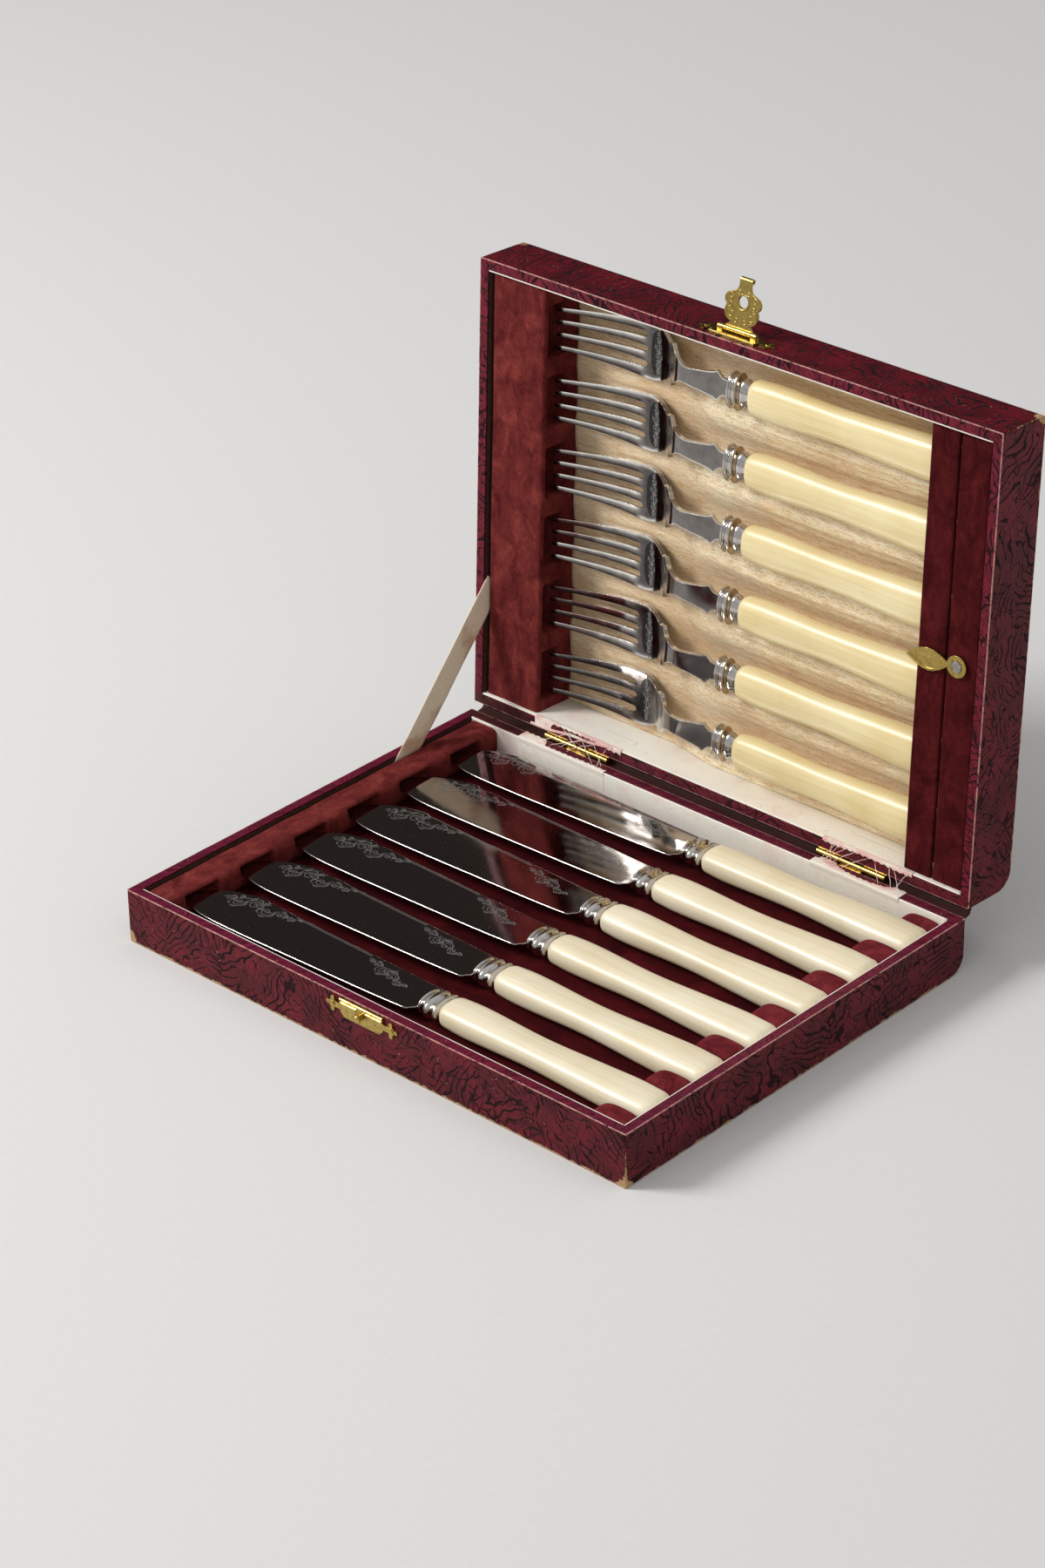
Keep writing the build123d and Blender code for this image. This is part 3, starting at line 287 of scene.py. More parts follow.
def leatherette(name, turn, shift, rim_height, far_height, rim_colour, rim_folds):
    """Wine leatherette. turn and shift bring a point to the shut case; rim_height and far_height are
    the heights there of the box's rim and of its far edges, from which the rubbing is counted;
    rim_folds is how much of the dark folds shows on the rim."""
    material, shader, shut = begin(name, shift, turn)
    x, y, z = (node("SeparateXYZ", {0: shut}, axis) for axis in range(3))
    from_end, from_side = half_width - abs(x), half_depth - abs(y)
    from_wall, from_upright = math_node("MINIMUM", from_end, from_side), larger(from_end, from_side)
    from_rim, from_far = abs(z - rim_height), abs(z - far_height)
    on_rim = fade(from_rim, 0.15, 0.4)
    folds, craze = pressed_folds(shut)
    folds = folds * (1.0 - on_rim * (1.0 - rim_folds))
    colour = mixed(ramp(noise(shut, 0.09, 4.0), (0.35, 0.0), (0.65, 1.0)), wine_deep, wine)
    colour = mixed(on_rim * 0.8, colour, rim_colour)
    colour = mixed(craze * 0.55, colour, fold_colour)
    colour = mixed(folds * 0.95, colour, fold_colour)
    back_rim = on_rim * fade((half_depth - 3.6) - y, -0.3, 0.3) * span(x, -88.0, -85.5, 1.0, 0.3)
    colour = mixed(back_rim * 0.9, colour, back_rim_colour)
    ragged = noise(shut, 0.23, 7.0, 0.72)
    worn = fade(larger(from_wall, from_far) - span(ragged, 0.40, 0.72, 0.20, 1.5), -0.12, 0.12)
    worn = larger(worn, fade((from_upright + from_far * 0.8) - span(ragged, 0.3, 0.7, 1.8, 6.5), -0.3, 0.3))
    worn = larger(worn, fade(from_upright - span(ragged, 0.46, 0.72, 0.10, 0.9), -0.1, 0.1))
    worn = larger(worn, fade(1.0 - noise(shut, 0.8, 2.0), 0.24, 0.28) * 0.6)
    turned = fade(larger(from_wall, from_rim), 0.22, 0.45) * fade(ragged, 0.52, 0.64)
    colour = mixed(turned * 0.8, colour, turned_edge)
    fibre = noise(shut, 2.2, 3.0)
    colour = mixed(worn, colour, mixed(fibre, bare_board, bare_board_deep))
    slant = drawn(drawn(shut, 1.0, 1.0, 1.0, turn=(0.0, 0.0, 0.75)), 0.75, 0.10, 0.4)
    ripple = noise(slant, 1.0, 3.0)
    colour = mixed(on_rim * ramp(ripple, (0.48, 0.0), (0.62, 0.4)), colour, fold_colour)
    relief = ripple * (on_rim * 0.5) - (folds * 1.0 + craze * 0.35) - worn * 1.2 + fibre * (worn * 0.9)
    surface(shader, colour, 0.42 + larger(folds, worn) * 0.4, relief, 0.00018, 0.8, Specular_IOR_Level=0.16)
    return material


def eased(name, solid, width, material):
    """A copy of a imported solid, its loose triangles joined and its sharp edges rounded by width mm."""
    mesh = frame["nodes"][solid].data.copy()
    work = bmesh.new()
    work.from_mesh(mesh)
    bmesh.ops.remove_doubles(work, verts=work.verts, dist=2e-6)
    bmesh.ops.dissolve_limit(work, angle_limit=math.radians(1.0), verts=work.verts, edges=work.edges)
    work.to_mesh(mesh)
    work.free()
    mesh.materials.clear()
    mesh.materials.append(material)
    mesh.polygons.foreach_set("use_smooth", np.ones(len(mesh.polygons), bool))
    piece = add(name, mesh)
    rounding = piece.modifiers.new("rounded edges", "BEVEL")
    rounding.width, rounding.segments, rounding.limit_method = width * 0.001, 2, "ANGLE"
    rounding.angle_limit, rounding.use_clamp_overlap = math.radians(25.0), True
    piece.modifiers.new("even shading", "WEIGHTED_NORMAL").keep_sharp = True
    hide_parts(solid)
    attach(piece, frame["nodes"][solid]["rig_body"])


pins = Vector((0.0, hinge_y, hinge_z))
shut_shift = tuple(pins - Matrix.Rotation(open_turn, 3, "X") @ pins)
base_cover = leatherette("wine leatherette of the base", (0.0, 0.0, 0.0), (0.0, 0.0, 0.0), base_height, 0.0,
                         paint(0.46, 0.12, 0.235), 0.25)
lid_cover = leatherette("wine leatherette of the lid", (open_turn, 0.0, 0.0), shut_shift, lid_rim, lid_top,
                        paint(0.47, 0.105, 0.19), 1.0)
eased("base_cover", "base_leatherette", 0.35, base_cover)
eased("lid_cover", "lid_leatherette", 0.35, lid_cover)

# Spine. One strip of the same leatherette runs from the base's back wall round behind the hinges
# to the underside of the open lid; its inner face is glue-browned.
spine_run = np.array([(87.3, 13.1), (87.3, 17.2), (87.35, 18.4), (87.9, 19.1), (89.8, 19.4), (91.3, 19.9),
                      (91.9, 21.0), (92.05, 22.0), (92.7, 22.62), (94.6, 22.62), (98.6, 22.4)])
spine_half = 113.5


def put(name, points, faces, material, slot, body=None, replaced=(), closed=True, cloth=0.0):
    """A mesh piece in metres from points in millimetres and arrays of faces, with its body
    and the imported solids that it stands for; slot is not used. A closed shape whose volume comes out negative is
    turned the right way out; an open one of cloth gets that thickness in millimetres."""
    points = points.reshape(-1, 3)
    if closed and not cloth:
        volume = 0.0
        for group in faces:
            for step in range(1, group.shape[1] - 1):
                a, b, c = points[group[:, 0]], points[group[:, step]], points[group[:, step + 1]]
                volume += float(np.einsum("ij,ij->i", a, np.cross(b, c)).sum())
        if volume < 0:
            faces = [group[:, ::-1] for group in faces]
    mesh = bpy.data.meshes.new(name)
    mesh.from_pydata((points * 0.001).tolist(), [], [face for group in faces for face in group.tolist()])
    mesh.polygons.foreach_set("use_smooth", np.ones(len(mesh.polygons), bool))
    mesh.materials.append(material)
    mesh.update()
    piece = add(name, mesh)
    if cloth:
        wall = piece.modifiers.new("cloth thickness", "SOLIDIFY")
        wall.thickness, wall.offset = cloth * 0.001, 0.0
    if replaced:
        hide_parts(*replaced)
    if body:
        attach(piece, body)
    return piece


def lattice(rows, columns, around=False):
    """Four-cornered faces between neighbours on a grid of rows and columns. around also joins the
    last column to the first."""
    number = np.arange(rows * columns).reshape(rows, columns)
    across = np.concatenate([number, number[:, :1]], 1) if around else number
    return np.stack([across[:-1, :-1], across[:-1, 1:], across[1:, 1:], across[1:, :-1]], -1).reshape(-1, 4)


def tube(rings):
    """Points and faces of a solid through rings, a (stations, round, 3) array: each ring is joined to
    the next, and a fan to its middle closes each end."""
    stations, around = rings.shape[:2]
    points = np.concatenate([rings.reshape(-1, 3), rings[:1].mean(1), rings[-1:].mean(1)])
    here = np.arange(around)
    there = np.roll(here, -1)
    near = np.stack([there, here, np.full(around, stations * around)], 1)
    far = np.stack([here, there, np.full(around, stations * around + 1)], 1)
    far[:, :2] += (stations - 1) * around
    return points, [lattice(stations, around, True), near, far]


def spread(*coordinates):
    """Points whose coordinates are each a number, a row, a column or a whole grid."""
    return np.stack(np.broadcast_arrays(*coordinates), -1)


def joined(parts):
    """Several (points, faces) as one, each part's faces numbered on from the part before."""
    points, faces, count = [], [], 0
    for more_points, more_faces in parts:
        points.append(more_points.reshape(-1, more_points.shape[-1]))
        faces += [group + count for group in more_faces]
        count += len(points[-1])
    return np.concatenate(points), faces


def through(at, stations, values):
    """A smooth curve through the stations: a cubic between two, whose slope at each is the harmonic
    mean of the slopes on its two sides, or flat where the curve turns."""
    x, y, at = np.asarray(stations, float), np.asarray(values, float), np.asarray(at, float)
    step, slope = np.diff(x), np.diff(y) / np.diff(x)
    same = slope[:-1] * slope[1:] > 0
    total = np.where(same, slope[:-1] + slope[1:], 1.0)
    lean = np.concatenate([slope[:1], np.where(same, 2 * slope[:-1] * slope[1:] / total, 0.0), slope[-1:]])
    k = np.clip(np.searchsorted(x, at) - 1, 0, len(step) - 1)
    t = np.clip((at - x[k]) / step[k], 0.0, 1.0)
    return (y[k] * (1 + 2 * t) * (1 - t) ** 2 + lean[k] * step[k] * t * (1 - t) ** 2
            + y[k + 1] * t * t * (3 - 2 * t) - lean[k + 1] * step[k] * t * t * (1 - t))


glued, shader, place = begin("glue-browned backing of the leatherette")
smear = noise(drawn(place, 0.05, 0.5, 0.5), 1.0, 4.0)
surface(shader, mixed(smear, paint(0.17, 0.085, 0.08), paint(0.29, 0.16, 0.14)), 0.6, smear, 0.0001,
        Specular_IOR_Level=0.2)
spine_share = np.linspace(0, len(spine_run) - 1, 90)
spine_line = np.stack([through(spine_share, np.arange(len(spine_run)), spine_run[:, axis]) for axis in (0, 1)], -1)
spine_points = spread(np.linspace(-spine_half, spine_half, 240), spine_line[:, :1], spine_line[:, 1:])
spine = put("spine_strip", spine_points, [lattice(90, 240)], glued, "leatherette", None, ["spine_leatherette"],
            cloth=0.5)
spine.data.materials.append(base_cover)
spine.modifiers[0].material_offset = spine.modifiers[0].material_offset_rim = 1
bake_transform(spine)

# Velvet. The bed, the two slotted racks, the pads between the handles and the block in the lid are
# boards and blocks covered in crimson cotton velvet, glued round the back; its pile is brushed about.
bed_left, bed_right, bed_side, bed_floor, bed_top = -111.1, 110.4, 82.4, 3.9, 9.7
knife_pitch, knife_middle, fork_pitch, fork_middle = 26.6, 2.1, 26.8, 85.7
lid_left, lid_floor, lid_front, lid_hinge_side = -110.1, 20.0, 169.3, 4.7
knife_y = knife_middle + (np.arange(6) - 2.5) * knife_pitch
fork_rise = fork_middle - (np.arange(6) - 2.5) * fork_pitch


def velvet(name, dark, lit, brushed, sheen=0.2):
    """Cotton velvet from its dark to its lit colour. brushed is how far each way the pile's marks run."""
    material, shader, place = begin(name)
    nap = noise(drawn(place, *brushed), 1.0, 4.0, 0.62, 0.8)
    pile = noise(place, 1.5, 4.0, 0.75)
    rows = noise(drawn(place, 0.5, 2.4, 0.5), 1.0, 2.0)
    middle = [(a + b) / 2 for a, b in zip(dark, lit)]
    colour = ramp(nap * 0.60 + pile * 0.30 + rows * 0.14,
                  (0.40, paint(*dark)), (0.54, paint(*middle)), (0.68, paint(*lit)))
    surface(shader, colour, 0.95, pile + nap * 0.6, 0.0002, 0.7, Specular_IOR_Level=0.05,
            Sheen_Weight=sheen, Sheen_Roughness=0.45, Sheen_Tint=paint(0.80, 0.30, 0.30))
    return material


# The bed is the same crimson velvet as the racks, its colours set darker as painted shade for the shadow that lies
# between the handles and under the blades.
shaded_bed_velvet = velvet("crimson velvet of the bed, darkened as painted shade", (0.18, 0.03, 0.045), (0.33, 0.075, 0.09), (0.05, 0.09, 0.09), 0.1)
rack_velvet = velvet("crimson velvet of the racks", (0.29, 0.09, 0.10), (0.53, 0.235, 0.21), (0.16, 0.10, 0.09), 0.3)
pad_velvet = velvet("crimson velvet of the pads", (0.315, 0.085, 0.115), (0.54, 0.215, 0.23), (0.12, 0.12, 0.12))
block_velvet = velvet("crimson velvet of the lid block", (0.19, 0.035, 0.05), (0.37, 0.115, 0.12),
                      (0.16, 0.10, 0.09), 0.25)


def round_box(low, high, floor, top, corner, step):
    """Points round a rectangle with round corners, a step apart along its straight sides."""
    turn = np.linspace(0, math.pi / 2, 6)
    middles = ((high - corner, floor + corner), (high - corner, top - corner), (low + corner, top - corner),
               (low + corner, floor + corner))
    arcs = [np.stack([a + corner * np.cos(turn + quarter), b + corner * np.sin(turn + quarter)], 1)
            for (a, b), quarter in zip(middles, (-math.pi / 2, 0.0, math.pi / 2, math.pi))]
    ring = []
    for arc, following in zip(arcs, arcs[1:] + arcs[:1]):
        gap = following[0] - arc[-1]
        count = max(2, int(np.linalg.norm(gap) / step))
        ring += [arc, arc[-1] + gap * np.linspace(0, 1, count + 1)[1:-1, None]]
    return np.concatenate(ring)


def within(at, low, high, soft):
    """1 between low and high, 0 outside, with a smooth step soft wide at each."""
    rise, fall = (np.clip(past / soft + 0.5, 0, 1) for past in (at - low, high - at))
    return rise * rise * (3 - 2 * rise) * fall * fall * (3 - 2 * fall)


def bulge(at, middle, half):
    """A half circle's height, 0 to 1, over at between middle - half and middle + half."""
    return np.sqrt(np.clip(1 - ((at - middle) / half) ** 2, 0, 1))


def bar_rings(section, run):
    """A section's points (across, up) repeated at every place along run, as (run, round, (across, run, up))."""
    return spread(section[:, 0], run[:, None], section[:, 1])


def cut_slots(rings, run, middles, half, face, low, high, depth):
    """Sinks a slot of that depth, half wide each side of each middle and between the heights low and
    high, into the side of the bar past face."""
    slot_here = sum(within(run, middle - half, middle + half, 0.9) for middle in middles)[:, None]
    rings[..., 0] -= depth * slot_here * within(rings[..., 2], low, high, 0.7) * (rings[..., 0] > face)


def squared(value, power):
    """A cosine or sine taken to a power with its sign kept, which squares a round off."""
    return np.sign(value) * np.abs(value) ** power


def pad_rings(x_low, x_high, y_low, y_high, z_low, z_high):
    """A stuffed pad: a ball squared off by taking each cosine and sine to a small power, with its
    underside cut flat and its top sunk a little toward its ends."""
    tilt = np.linspace(-math.pi / 2 + 0.02, math.pi / 2 - 0.02, 34)[:, None]
    turn = np.linspace(0, 2 * math.pi, 48, endpoint=False)[None, :]
    ring = squared(np.cos(tilt), 0.42)
    along, across = ring * squared(np.cos(turn), 0.45), ring * squared(np.sin(turn), 0.45)
    up = (z_high - z_low) * (0.5 + 0.5 * squared(np.sin(tilt), 0.5)) * (1 - 0.10 * along ** 2)
    return spread((x_low + x_high) / 2 + (x_high - x_low) / 2 * along,
                  (y_low + y_high) / 2 + (y_high - y_low) / 2 * across, z_low + up)


def in_lid(points):
    """Points (across, rise from the hinge side, depth from the rim) of the lid, where it stands open:
    turned 93 degrees about the hinge pins."""
    y, z = -1.75 - points[..., 1], points[..., 2] - 0.4
    return spread(points[..., 0], hinge_y + y * math.cos(open_turn) + z * math.sin(open_turn),
                  hinge_z - y * math.sin(open_turn) + z * math.cos(open_turn))


bed_box = round_box(bed_left, bed_right, bed_floor, bed_top, 0.8, 1.6)
bed_rings = bar_rings(bed_box, np.linspace(-bed_side, bed_side, 110))
bed_wave = np.sin(bed_rings[..., 0] * 0.11) * np.sin(bed_rings[..., 1] * 0.17 + 1.0) * 0.10
bed_rings[..., 2] += np.where(bed_rings[..., 2] > 9.0, bed_wave - 0.1, 0.0)
put("velvet_bed", *tube(bed_rings), shaded_bed_velvet, "velvet", "base", ["base_velvet_bed"])

rack_run = np.linspace(-82.3, 82.3, 420)
rack_rings = bar_rings(round_box(-110.2, -98.0, 9.72, 19.6, 2.3, 0.42), rack_run)
cut_slots(rack_rings, rack_run, knife_y - 2.7, 7.75, -104.0, 14.2, 18.4, 7.4)
wall_side = -110.2 + (rack_rings[..., 0] + 110.2) * 0.4
rack_rings[..., 0] = np.where(rack_rings[..., 0] < -107.0, wall_side, rack_rings[..., 0])
rack_wave = 0.12 * np.sin(rack_run * 0.23)[:, None]
rack_rings[..., 2] += np.where(rack_rings[..., 2] > 18.5, -0.12 + rack_wave, 0.0)
put("blade_rack", *tube(rack_rings), rack_velvet, "velvet", "base", ["base_tip_rack"])

beside_handle = 8.1
pad_stops = [-bed_side - beside_handle, *knife_y, bed_side + beside_handle]
pad_shapes = [pad_rings(93.4 + 0.7 * math.sin(number * 2.4), bed_right, pad_stops[number] + beside_handle,
                        pad_stops[number + 1] - beside_handle, 9.75, 18.7 - 0.4 * (number % 2)) for number in range(7)]
pads = put("handle_pads", *joined(map(tube, pad_shapes)), pad_velvet, "velvet", "base", ["base_handle_pads"])

lid_run = np.linspace(lid_hinge_side, lid_front, 420)
tine_rings = bar_rings(round_box(lid_left, -84.95, 1.5, lid_floor, 1.3, 0.42), lid_run)
cut_slots(tine_rings, lid_run, fork_rise, 9.3, -90.0, 3.9, 12.7, 8.1)
tine_wave = 0.12 * np.sin(tine_rings[..., 0] * 0.3 + lid_run[:, None] * 0.08)
tine_rings[..., 2] += np.where(tine_rings[..., 2] < 2.4, 0.15 + tine_wave, 0.0)
put("tine_rack", *tube(in_lid(tine_rings)), rack_velvet, "velvet", "lid", ["lid_tine_rack"])

block_rings = bar_rings(round_box(97.4, 110.2, 1.75, lid_floor, 0.9, 0.9), lid_run[::3])
shelf_run = np.linspace(lid_hinge_side, lid_front, 330)
shelf_rings = bar_rings(round_box(84.95, 97.9, 11.6, lid_floor, 0.8, 0.9), shelf_run)
saddle = sum(bulge(shelf_run, rise, 8.6) for rise in fork_rise)[:, None]
shelf_rings[..., 2] += np.where(shelf_rings[..., 2] < 12.6, 3.2 * saddle, 0.0)
block_shape = joined([tube(in_lid(block_rings)), tube(in_lid(shelf_rings))])
put("handle_block", *block_shape, block_velvet, "velvet", "lid", ["lid_handle_block"])

flap_rings = bar_rings(round_box(85.2, 96.8, 1.75, 3.4, 0.7, 0.6), lid_run[::2])
flap_rings[..., 2] += 0.10 * np.sin(flap_rings[..., 1] * 0.09 + 0.5) * (96.8 - flap_rings[..., 0]) / 11.6
put("butt_flap", *tube(in_lid(flap_rings)), block_velvet, "velvet", "lid", ["retainer_flap"])

# Linings. Strips of card covered in cream sateen line the walls; the sateen has gone pink where
# the wet velvet once touched it, and it is torn at the hinges.
sateen, shader, place = begin("stained cream sateen")
thread = noise(drawn(place, 0.8, 3.0, 3.0), 1.0, 3.0)
cream = mixed(thread, paint(0.99, 0.975, 0.93), paint(0.93, 0.90, 0.835))
cream = mixed(ramp(noise(place, 0.045, 5.0, 0.65), (0.52, 0.0), (0.66, 0.36)), cream, paint(0.93, 0.72, 0.72))
cream = mixed(ramp(noise(place, 0.35, 2.0), (0.68, 0.0), (0.76, 0.45)), cream, paint(0.70, 0.60, 0.48))
surface(shader, cream, 0.55, thread, 0.00012, 0.6, Sheen_Weight=0.15)


def wall_strip(low, high, floor, top, run, sideways=True):
    """A covered card strip along one wall, with its top edge rounded and a slow waver in its face."""
    rings = bar_rings(round_box(low, high, floor, top, 0.3, 1.2), run)
    rings[..., 0] += 0.06 * np.sin(run * 0.11)[:, None] * np.sin(rings[..., 2] * 0.5)
    return rings[..., [1, 0, 2]] if sideways else rings


strip_top, strip_thick = 20.35, 0.65
base_run, lid_wall_run = np.linspace(-111.0, 110.5, 160), np.linspace(-111.0, 111.0, 160)
side_run = np.linspace(-bed_side, bed_side, 120)
base_walls = [wall_strip(low, low + strip_thick, bed_floor, strip_top, base_run) for low in (-83.15, 82.5)]
base_walls.append(wall_strip(110.5, 110.5 + strip_thick, bed_floor, strip_top, side_run, sideways=False))
lid_walls = [in_lid(wall_strip(low, low + strip_thick, 0.25, lid_floor, lid_wall_run)) for low in (3.85, 169.5)]
for body, strips in (("base", base_walls), ("lid", lid_walls)):
    lining = put(body + "_lining_strips", *joined(map(tube, strips)), sateen, "lining_sateen", body, [body + "_lining"])

# Torn lining. Where it crossed from base to lid over the two hinges, the sateen has worn through: its
# ends lie on both rims, pink from the velvet's dye, and loose threads still run across the gap.
tucked, torn_rows = 9.5, 44
thread_ends = [(52.5, 57.5), (53.5, 62.0), (55.0, 58.5), (57.0, 66.5), (59.0, 55.5), (62.0, 71.0), (79.0, 74.5),
               (84.5, 80.5), (86.0, 89.0), (88.0, 83.0), (-78.5, -66.0), (-74.0, -60.0), (-70.0, -57.5),
               (-66.0, -54.0), (-58.0, -70.0), (-52.0, -62.0), (-50.0, -49.0), (-48.5, -56.0)]
torn, shader, place = begin("pink-stained torn sateen")
strand = noise(drawn(place, 0.35, 1.6, 1.6), 1.0, 4.0)
cloth = mixed(strand, paint(0.99, 0.975, 0.93), paint(0.92, 0.88, 0.81))
y = node("SeparateXYZ", {0: place}, 1)
near_tear = span(y, 82.7, 85.0, 0.1, 1.0) * span(y, 89.0, 90.5, 1.0, 0.0)
blush = ramp(noise(place, 0.16, 4.0), (0.40, 0.15), (0.58, 0.85)) * near_tear
surface(shader, mixed(blush, cloth, paint(0.90, 0.68, 0.66)), 0.7, strand, 0.0002, 0.8, Specular_IOR_Level=0.2)


def torn_end(body, side, x, reach):
    """Cloth that comes up inside the lining, turns over its top edge and lies on the rim as far as
    reach at each x, its torn edge wandering by two sines; it is crumpled by a product of sines. Gives
    the piece, its body, and in metres its width, its greatest length and its mean length."""
    ragged = reach + 0.22 * np.sin(x * 2.3) + 0.16 * np.sin(x * 5.9 + 1.0)
    at = np.linspace(0, 1, torn_rows) * (tucked + ragged[:, None])
    over, up = np.clip(at - tucked, 0, None), np.minimum(at, tucked)
    lift = 0.06 + 0.05 * np.sin(x[:, None] * 1.1) * np.sin(over * 2.0 + 0.5)
    behind = 0.2 * np.clip((8.6 - up) / 1.2, 0, 1)
    if body == "lid":
        points = in_lid(spread(x[:, None], 4.64 - over - behind, tucked - up - lift - 0.02))
    else:
        points = spread(x[:, None], 82.36 + over + behind, 20.63 + lift - (tucked - up))
    faces = [lattice(len(x), torn_rows)]
    piece = put(f"torn_end_{body}_{side}", points, faces, torn, "lining_sateen", body, cloth=0.12)
    sizes = x[-1] - x[0], tucked + ragged.max(), tucked + ragged.mean()
    return piece, body, *[float(size) * 0.001 for size in sizes]


def cord_rings(line, radius):
    """Rings of five points round a line, in planes across its way, thinning to its two ends."""
    way = np.gradient(line, axis=0)
    way /= np.linalg.norm(way, axis=1, keepdims=True)
    side = np.cross(way, [0.3, 0.5, 0.81])
    side /= np.linalg.norm(side, axis=1, keepdims=True)
    turn = np.linspace(0, 2 * math.pi, 5, endpoint=False)[:, None]
    thin = radius * np.clip(np.sin(math.pi * np.linspace(0.03, 0.97, len(line))) ** 0.3, 0.3, 1)[:, None, None]
    return line[:, None] + thin * (side[:, None] * np.cos(turn) + np.cross(way, side)[:, None] * np.sin(turn))


def loose_thread(near_x, far_x):
    """A thread from one x on the base's rim to another on the lid's: a straight run, bowed by half a
    sine and rippled sideways by a quicker one."""
    share = np.linspace(0, 1, 22)[:, None]
    foot = np.array([near_x, 84.6 + chance.uniform(-0.9, 1.4), 20.78])
    head = in_lid(np.array([far_x, 3.4 + chance.uniform(-0.6, 0.9), -0.16]))
    bow = np.array([chance.uniform(-1.5, 1.5), -0.8, 0.9]) * np.sin(math.pi * share)
    line = foot + (head - foot) * share + bow * chance.uniform(0.2, 0.7)
    line += 0.12 * np.sin(share * chance.uniform(12, 22) + chance.uniform(0, 6)) * [1, 0, 0]
    return tube(cord_rings(line, 0.13))


right_x, left_x = np.linspace(50.4, 89.6, 150), np.linspace(-87.4, -45.5, 150)
torn_ends = [
    torn_end("base", "right", right_x, 5.0 - 3.1 * bulge(right_x, 71.5, 12.5) - 1.4 * within(right_x, 50, 52.5, 1.5)),
    torn_end("base", "left", left_x, 1.1 + 3.6 * within(left_x, -90, -76.0, 3.0) + 0.4 * within(left_x, -60, -40, 6.0)),
    torn_end("lid", "right", right_x + 0.8, 1.5 - 0.5 * bulge(right_x, 70.0, 11.0)),
    torn_end("lid", "left", left_x + 3.0,
             0.7 + 3.2 * within(left_x, -93, -79.5, 2.0) + 0.9 * within(left_x, -53, -40, 4.0))]
chance = np.random.default_rng(7)
threads = put("torn_threads", *joined(loose_thread(*ends) for ends in thread_ends), torn, "lining_sateen")
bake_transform(threads)
hem_x, hem_wide = np.linspace(-86.5, -46.5, 120)[:, None], np.linspace(-0.55, 0.55, 8)
hem_rise = 0.7 + 3.3 * (hem_x + 86.5) / 40.0 + hem_wide + 0.25 * np.sin(hem_x * 0.35)
hem_depth = -0.14 - 0.05 * np.sin(hem_x * 0.5) * np.cos(hem_wide * 2.0)
hem_points = in_lid(spread(hem_x, hem_rise, hem_depth))
hem = put("loose_hem", hem_points, [lattice(120, 8)], torn, "lining_sateen", "lid", cloth=0.14)
for (piece, body, width, longest, middling), loose in zip(torn_ends, ([], [threads], [], [hem])):
    width * middling
    body + "_lining_strips"

# Satin. One piece of champagne satin is laid in loose soft folds over a little wadding behind the
# forks; it sinks under each fork and stands up between them, most beside the handles.
satin_x, satin_rise = np.linspace(-84.8, 84.8, 150)[:, None], np.linspace(4.65, 169.35, 320)
swell_in = np.clip((satin_x + 36.0) / 26.0, 0, 1)
swell = 0.7 + 3.9 * swell_in ** 2 * (3 - 2 * swell_in)
crest = (0.5 - 0.5 * np.cos((satin_rise - fork_rise[0]) / fork_pitch * 2 * math.pi)) ** 1.35
slack = np.clip((satin_x + 30.0) / 40.0, 0.12, 1.0)
satin_folds = (0.34 * np.sin(satin_rise * 0.62 + 1.3 * np.sin(satin_x * 0.028) + 0.6)
               + 0.22 * np.sin(satin_rise * 1.13 - satin_x * 0.017 + 2.0)
               + 0.16 * np.sin(satin_rise * 1.9 + 0.9 * np.sin(satin_x * 0.06))
               + 0.10 * np.sin(satin_x * 0.21 + satin_rise * 0.4))
satin_depth = np.minimum(19.35 - swell * crest - slack * (0.30 + 0.75 * crest) * (satin_folds + 0.55) * 0.8, 19.9)
champagne, shader, place = begin("champagne satin")
weave = noise(drawn(place, 1.5, 2.2, 2.2), 1.0, 3.0, 0.7) * 0.55 + noise(drawn(place, 0.22, 1.6, 1.6), 1.0, 3.0) * 0.45
satin_colour = ramp(weave, (0.38, paint(0.84, 0.69, 0.50)), (0.5, paint(0.965, 0.88, 0.73)),
                    (0.60, paint(1.0, 0.975, 0.86)))
tan = ramp(noise(place, 0.03, 3.0), (0.48, 0.0), (0.72, 0.4))
satin_colour = mixed(tan, satin_colour, paint(0.83, 0.655, 0.45))
# Painted shade: the satin's colour is mixed toward a darker tan where it lies deepest in the lid, in the troughs under
# the forks.
sunk = span(dot(place, (0.0, 0.9986, -0.0523)) - 87.10, 16.2, 19.6, 0.0, 0.5)
surface(shader, mixed(sunk, satin_colour, paint(0.72, 0.53, 0.345)), 0.42, weave, 0.00016, 0.55,
        Specular_IOR_Level=0.4, Sheen_Weight=0.25, Sheen_Roughness=0.35, Anisotropic=0.5)
satin_points = in_lid(spread(satin_x, satin_rise, satin_depth))
satin = put("satin_panel", satin_points, [lattice(150, 320)], champagne, "satin", "lid", ["lid_satin"], cloth=0.25)

# Stay. A folding cotton tape stops the lid; it is glued down behind each rack and has browned
# where it creases.
stay_foot, stay_head, stay_glued, stay_half = np.array([50.1, 20.6]), np.array([90.63, 64.9]), 8.8, 5.0
tape, shader, place = begin("faded cotton tape")
rib = noise(drawn(place, 1.0, 2.6, 0.7), 1.0, 3.0)
tape_colour = mixed(rib, paint(1.0, 0.955, 0.86), paint(0.93, 0.86, 0.745))
browned = ramp(noise(place, 0.07, 4.0), (0.56, 0.0), (0.68, 0.55))
surface(shader, mixed(browned, tape_colour, paint(0.70, 0.50, 0.31)), 0.8, rib, 0.0001, 0.6, Sheen_Weight=0.1)
stay_length = float(np.linalg.norm(stay_head - stay_foot))
way_y, way_z = (stay_head - stay_foot) / stay_length
run = np.linspace(-stay_glued, stay_length + stay_glued, 120)[:, None]
wide = np.linspace(-stay_half, stay_half, 14)
kink = 0.13 * np.sin(run * 0.21) * np.sin(wide * 0.5 + 0.4) + 0.10 * np.exp(-((run - 23.0) / 1.6) ** 2)
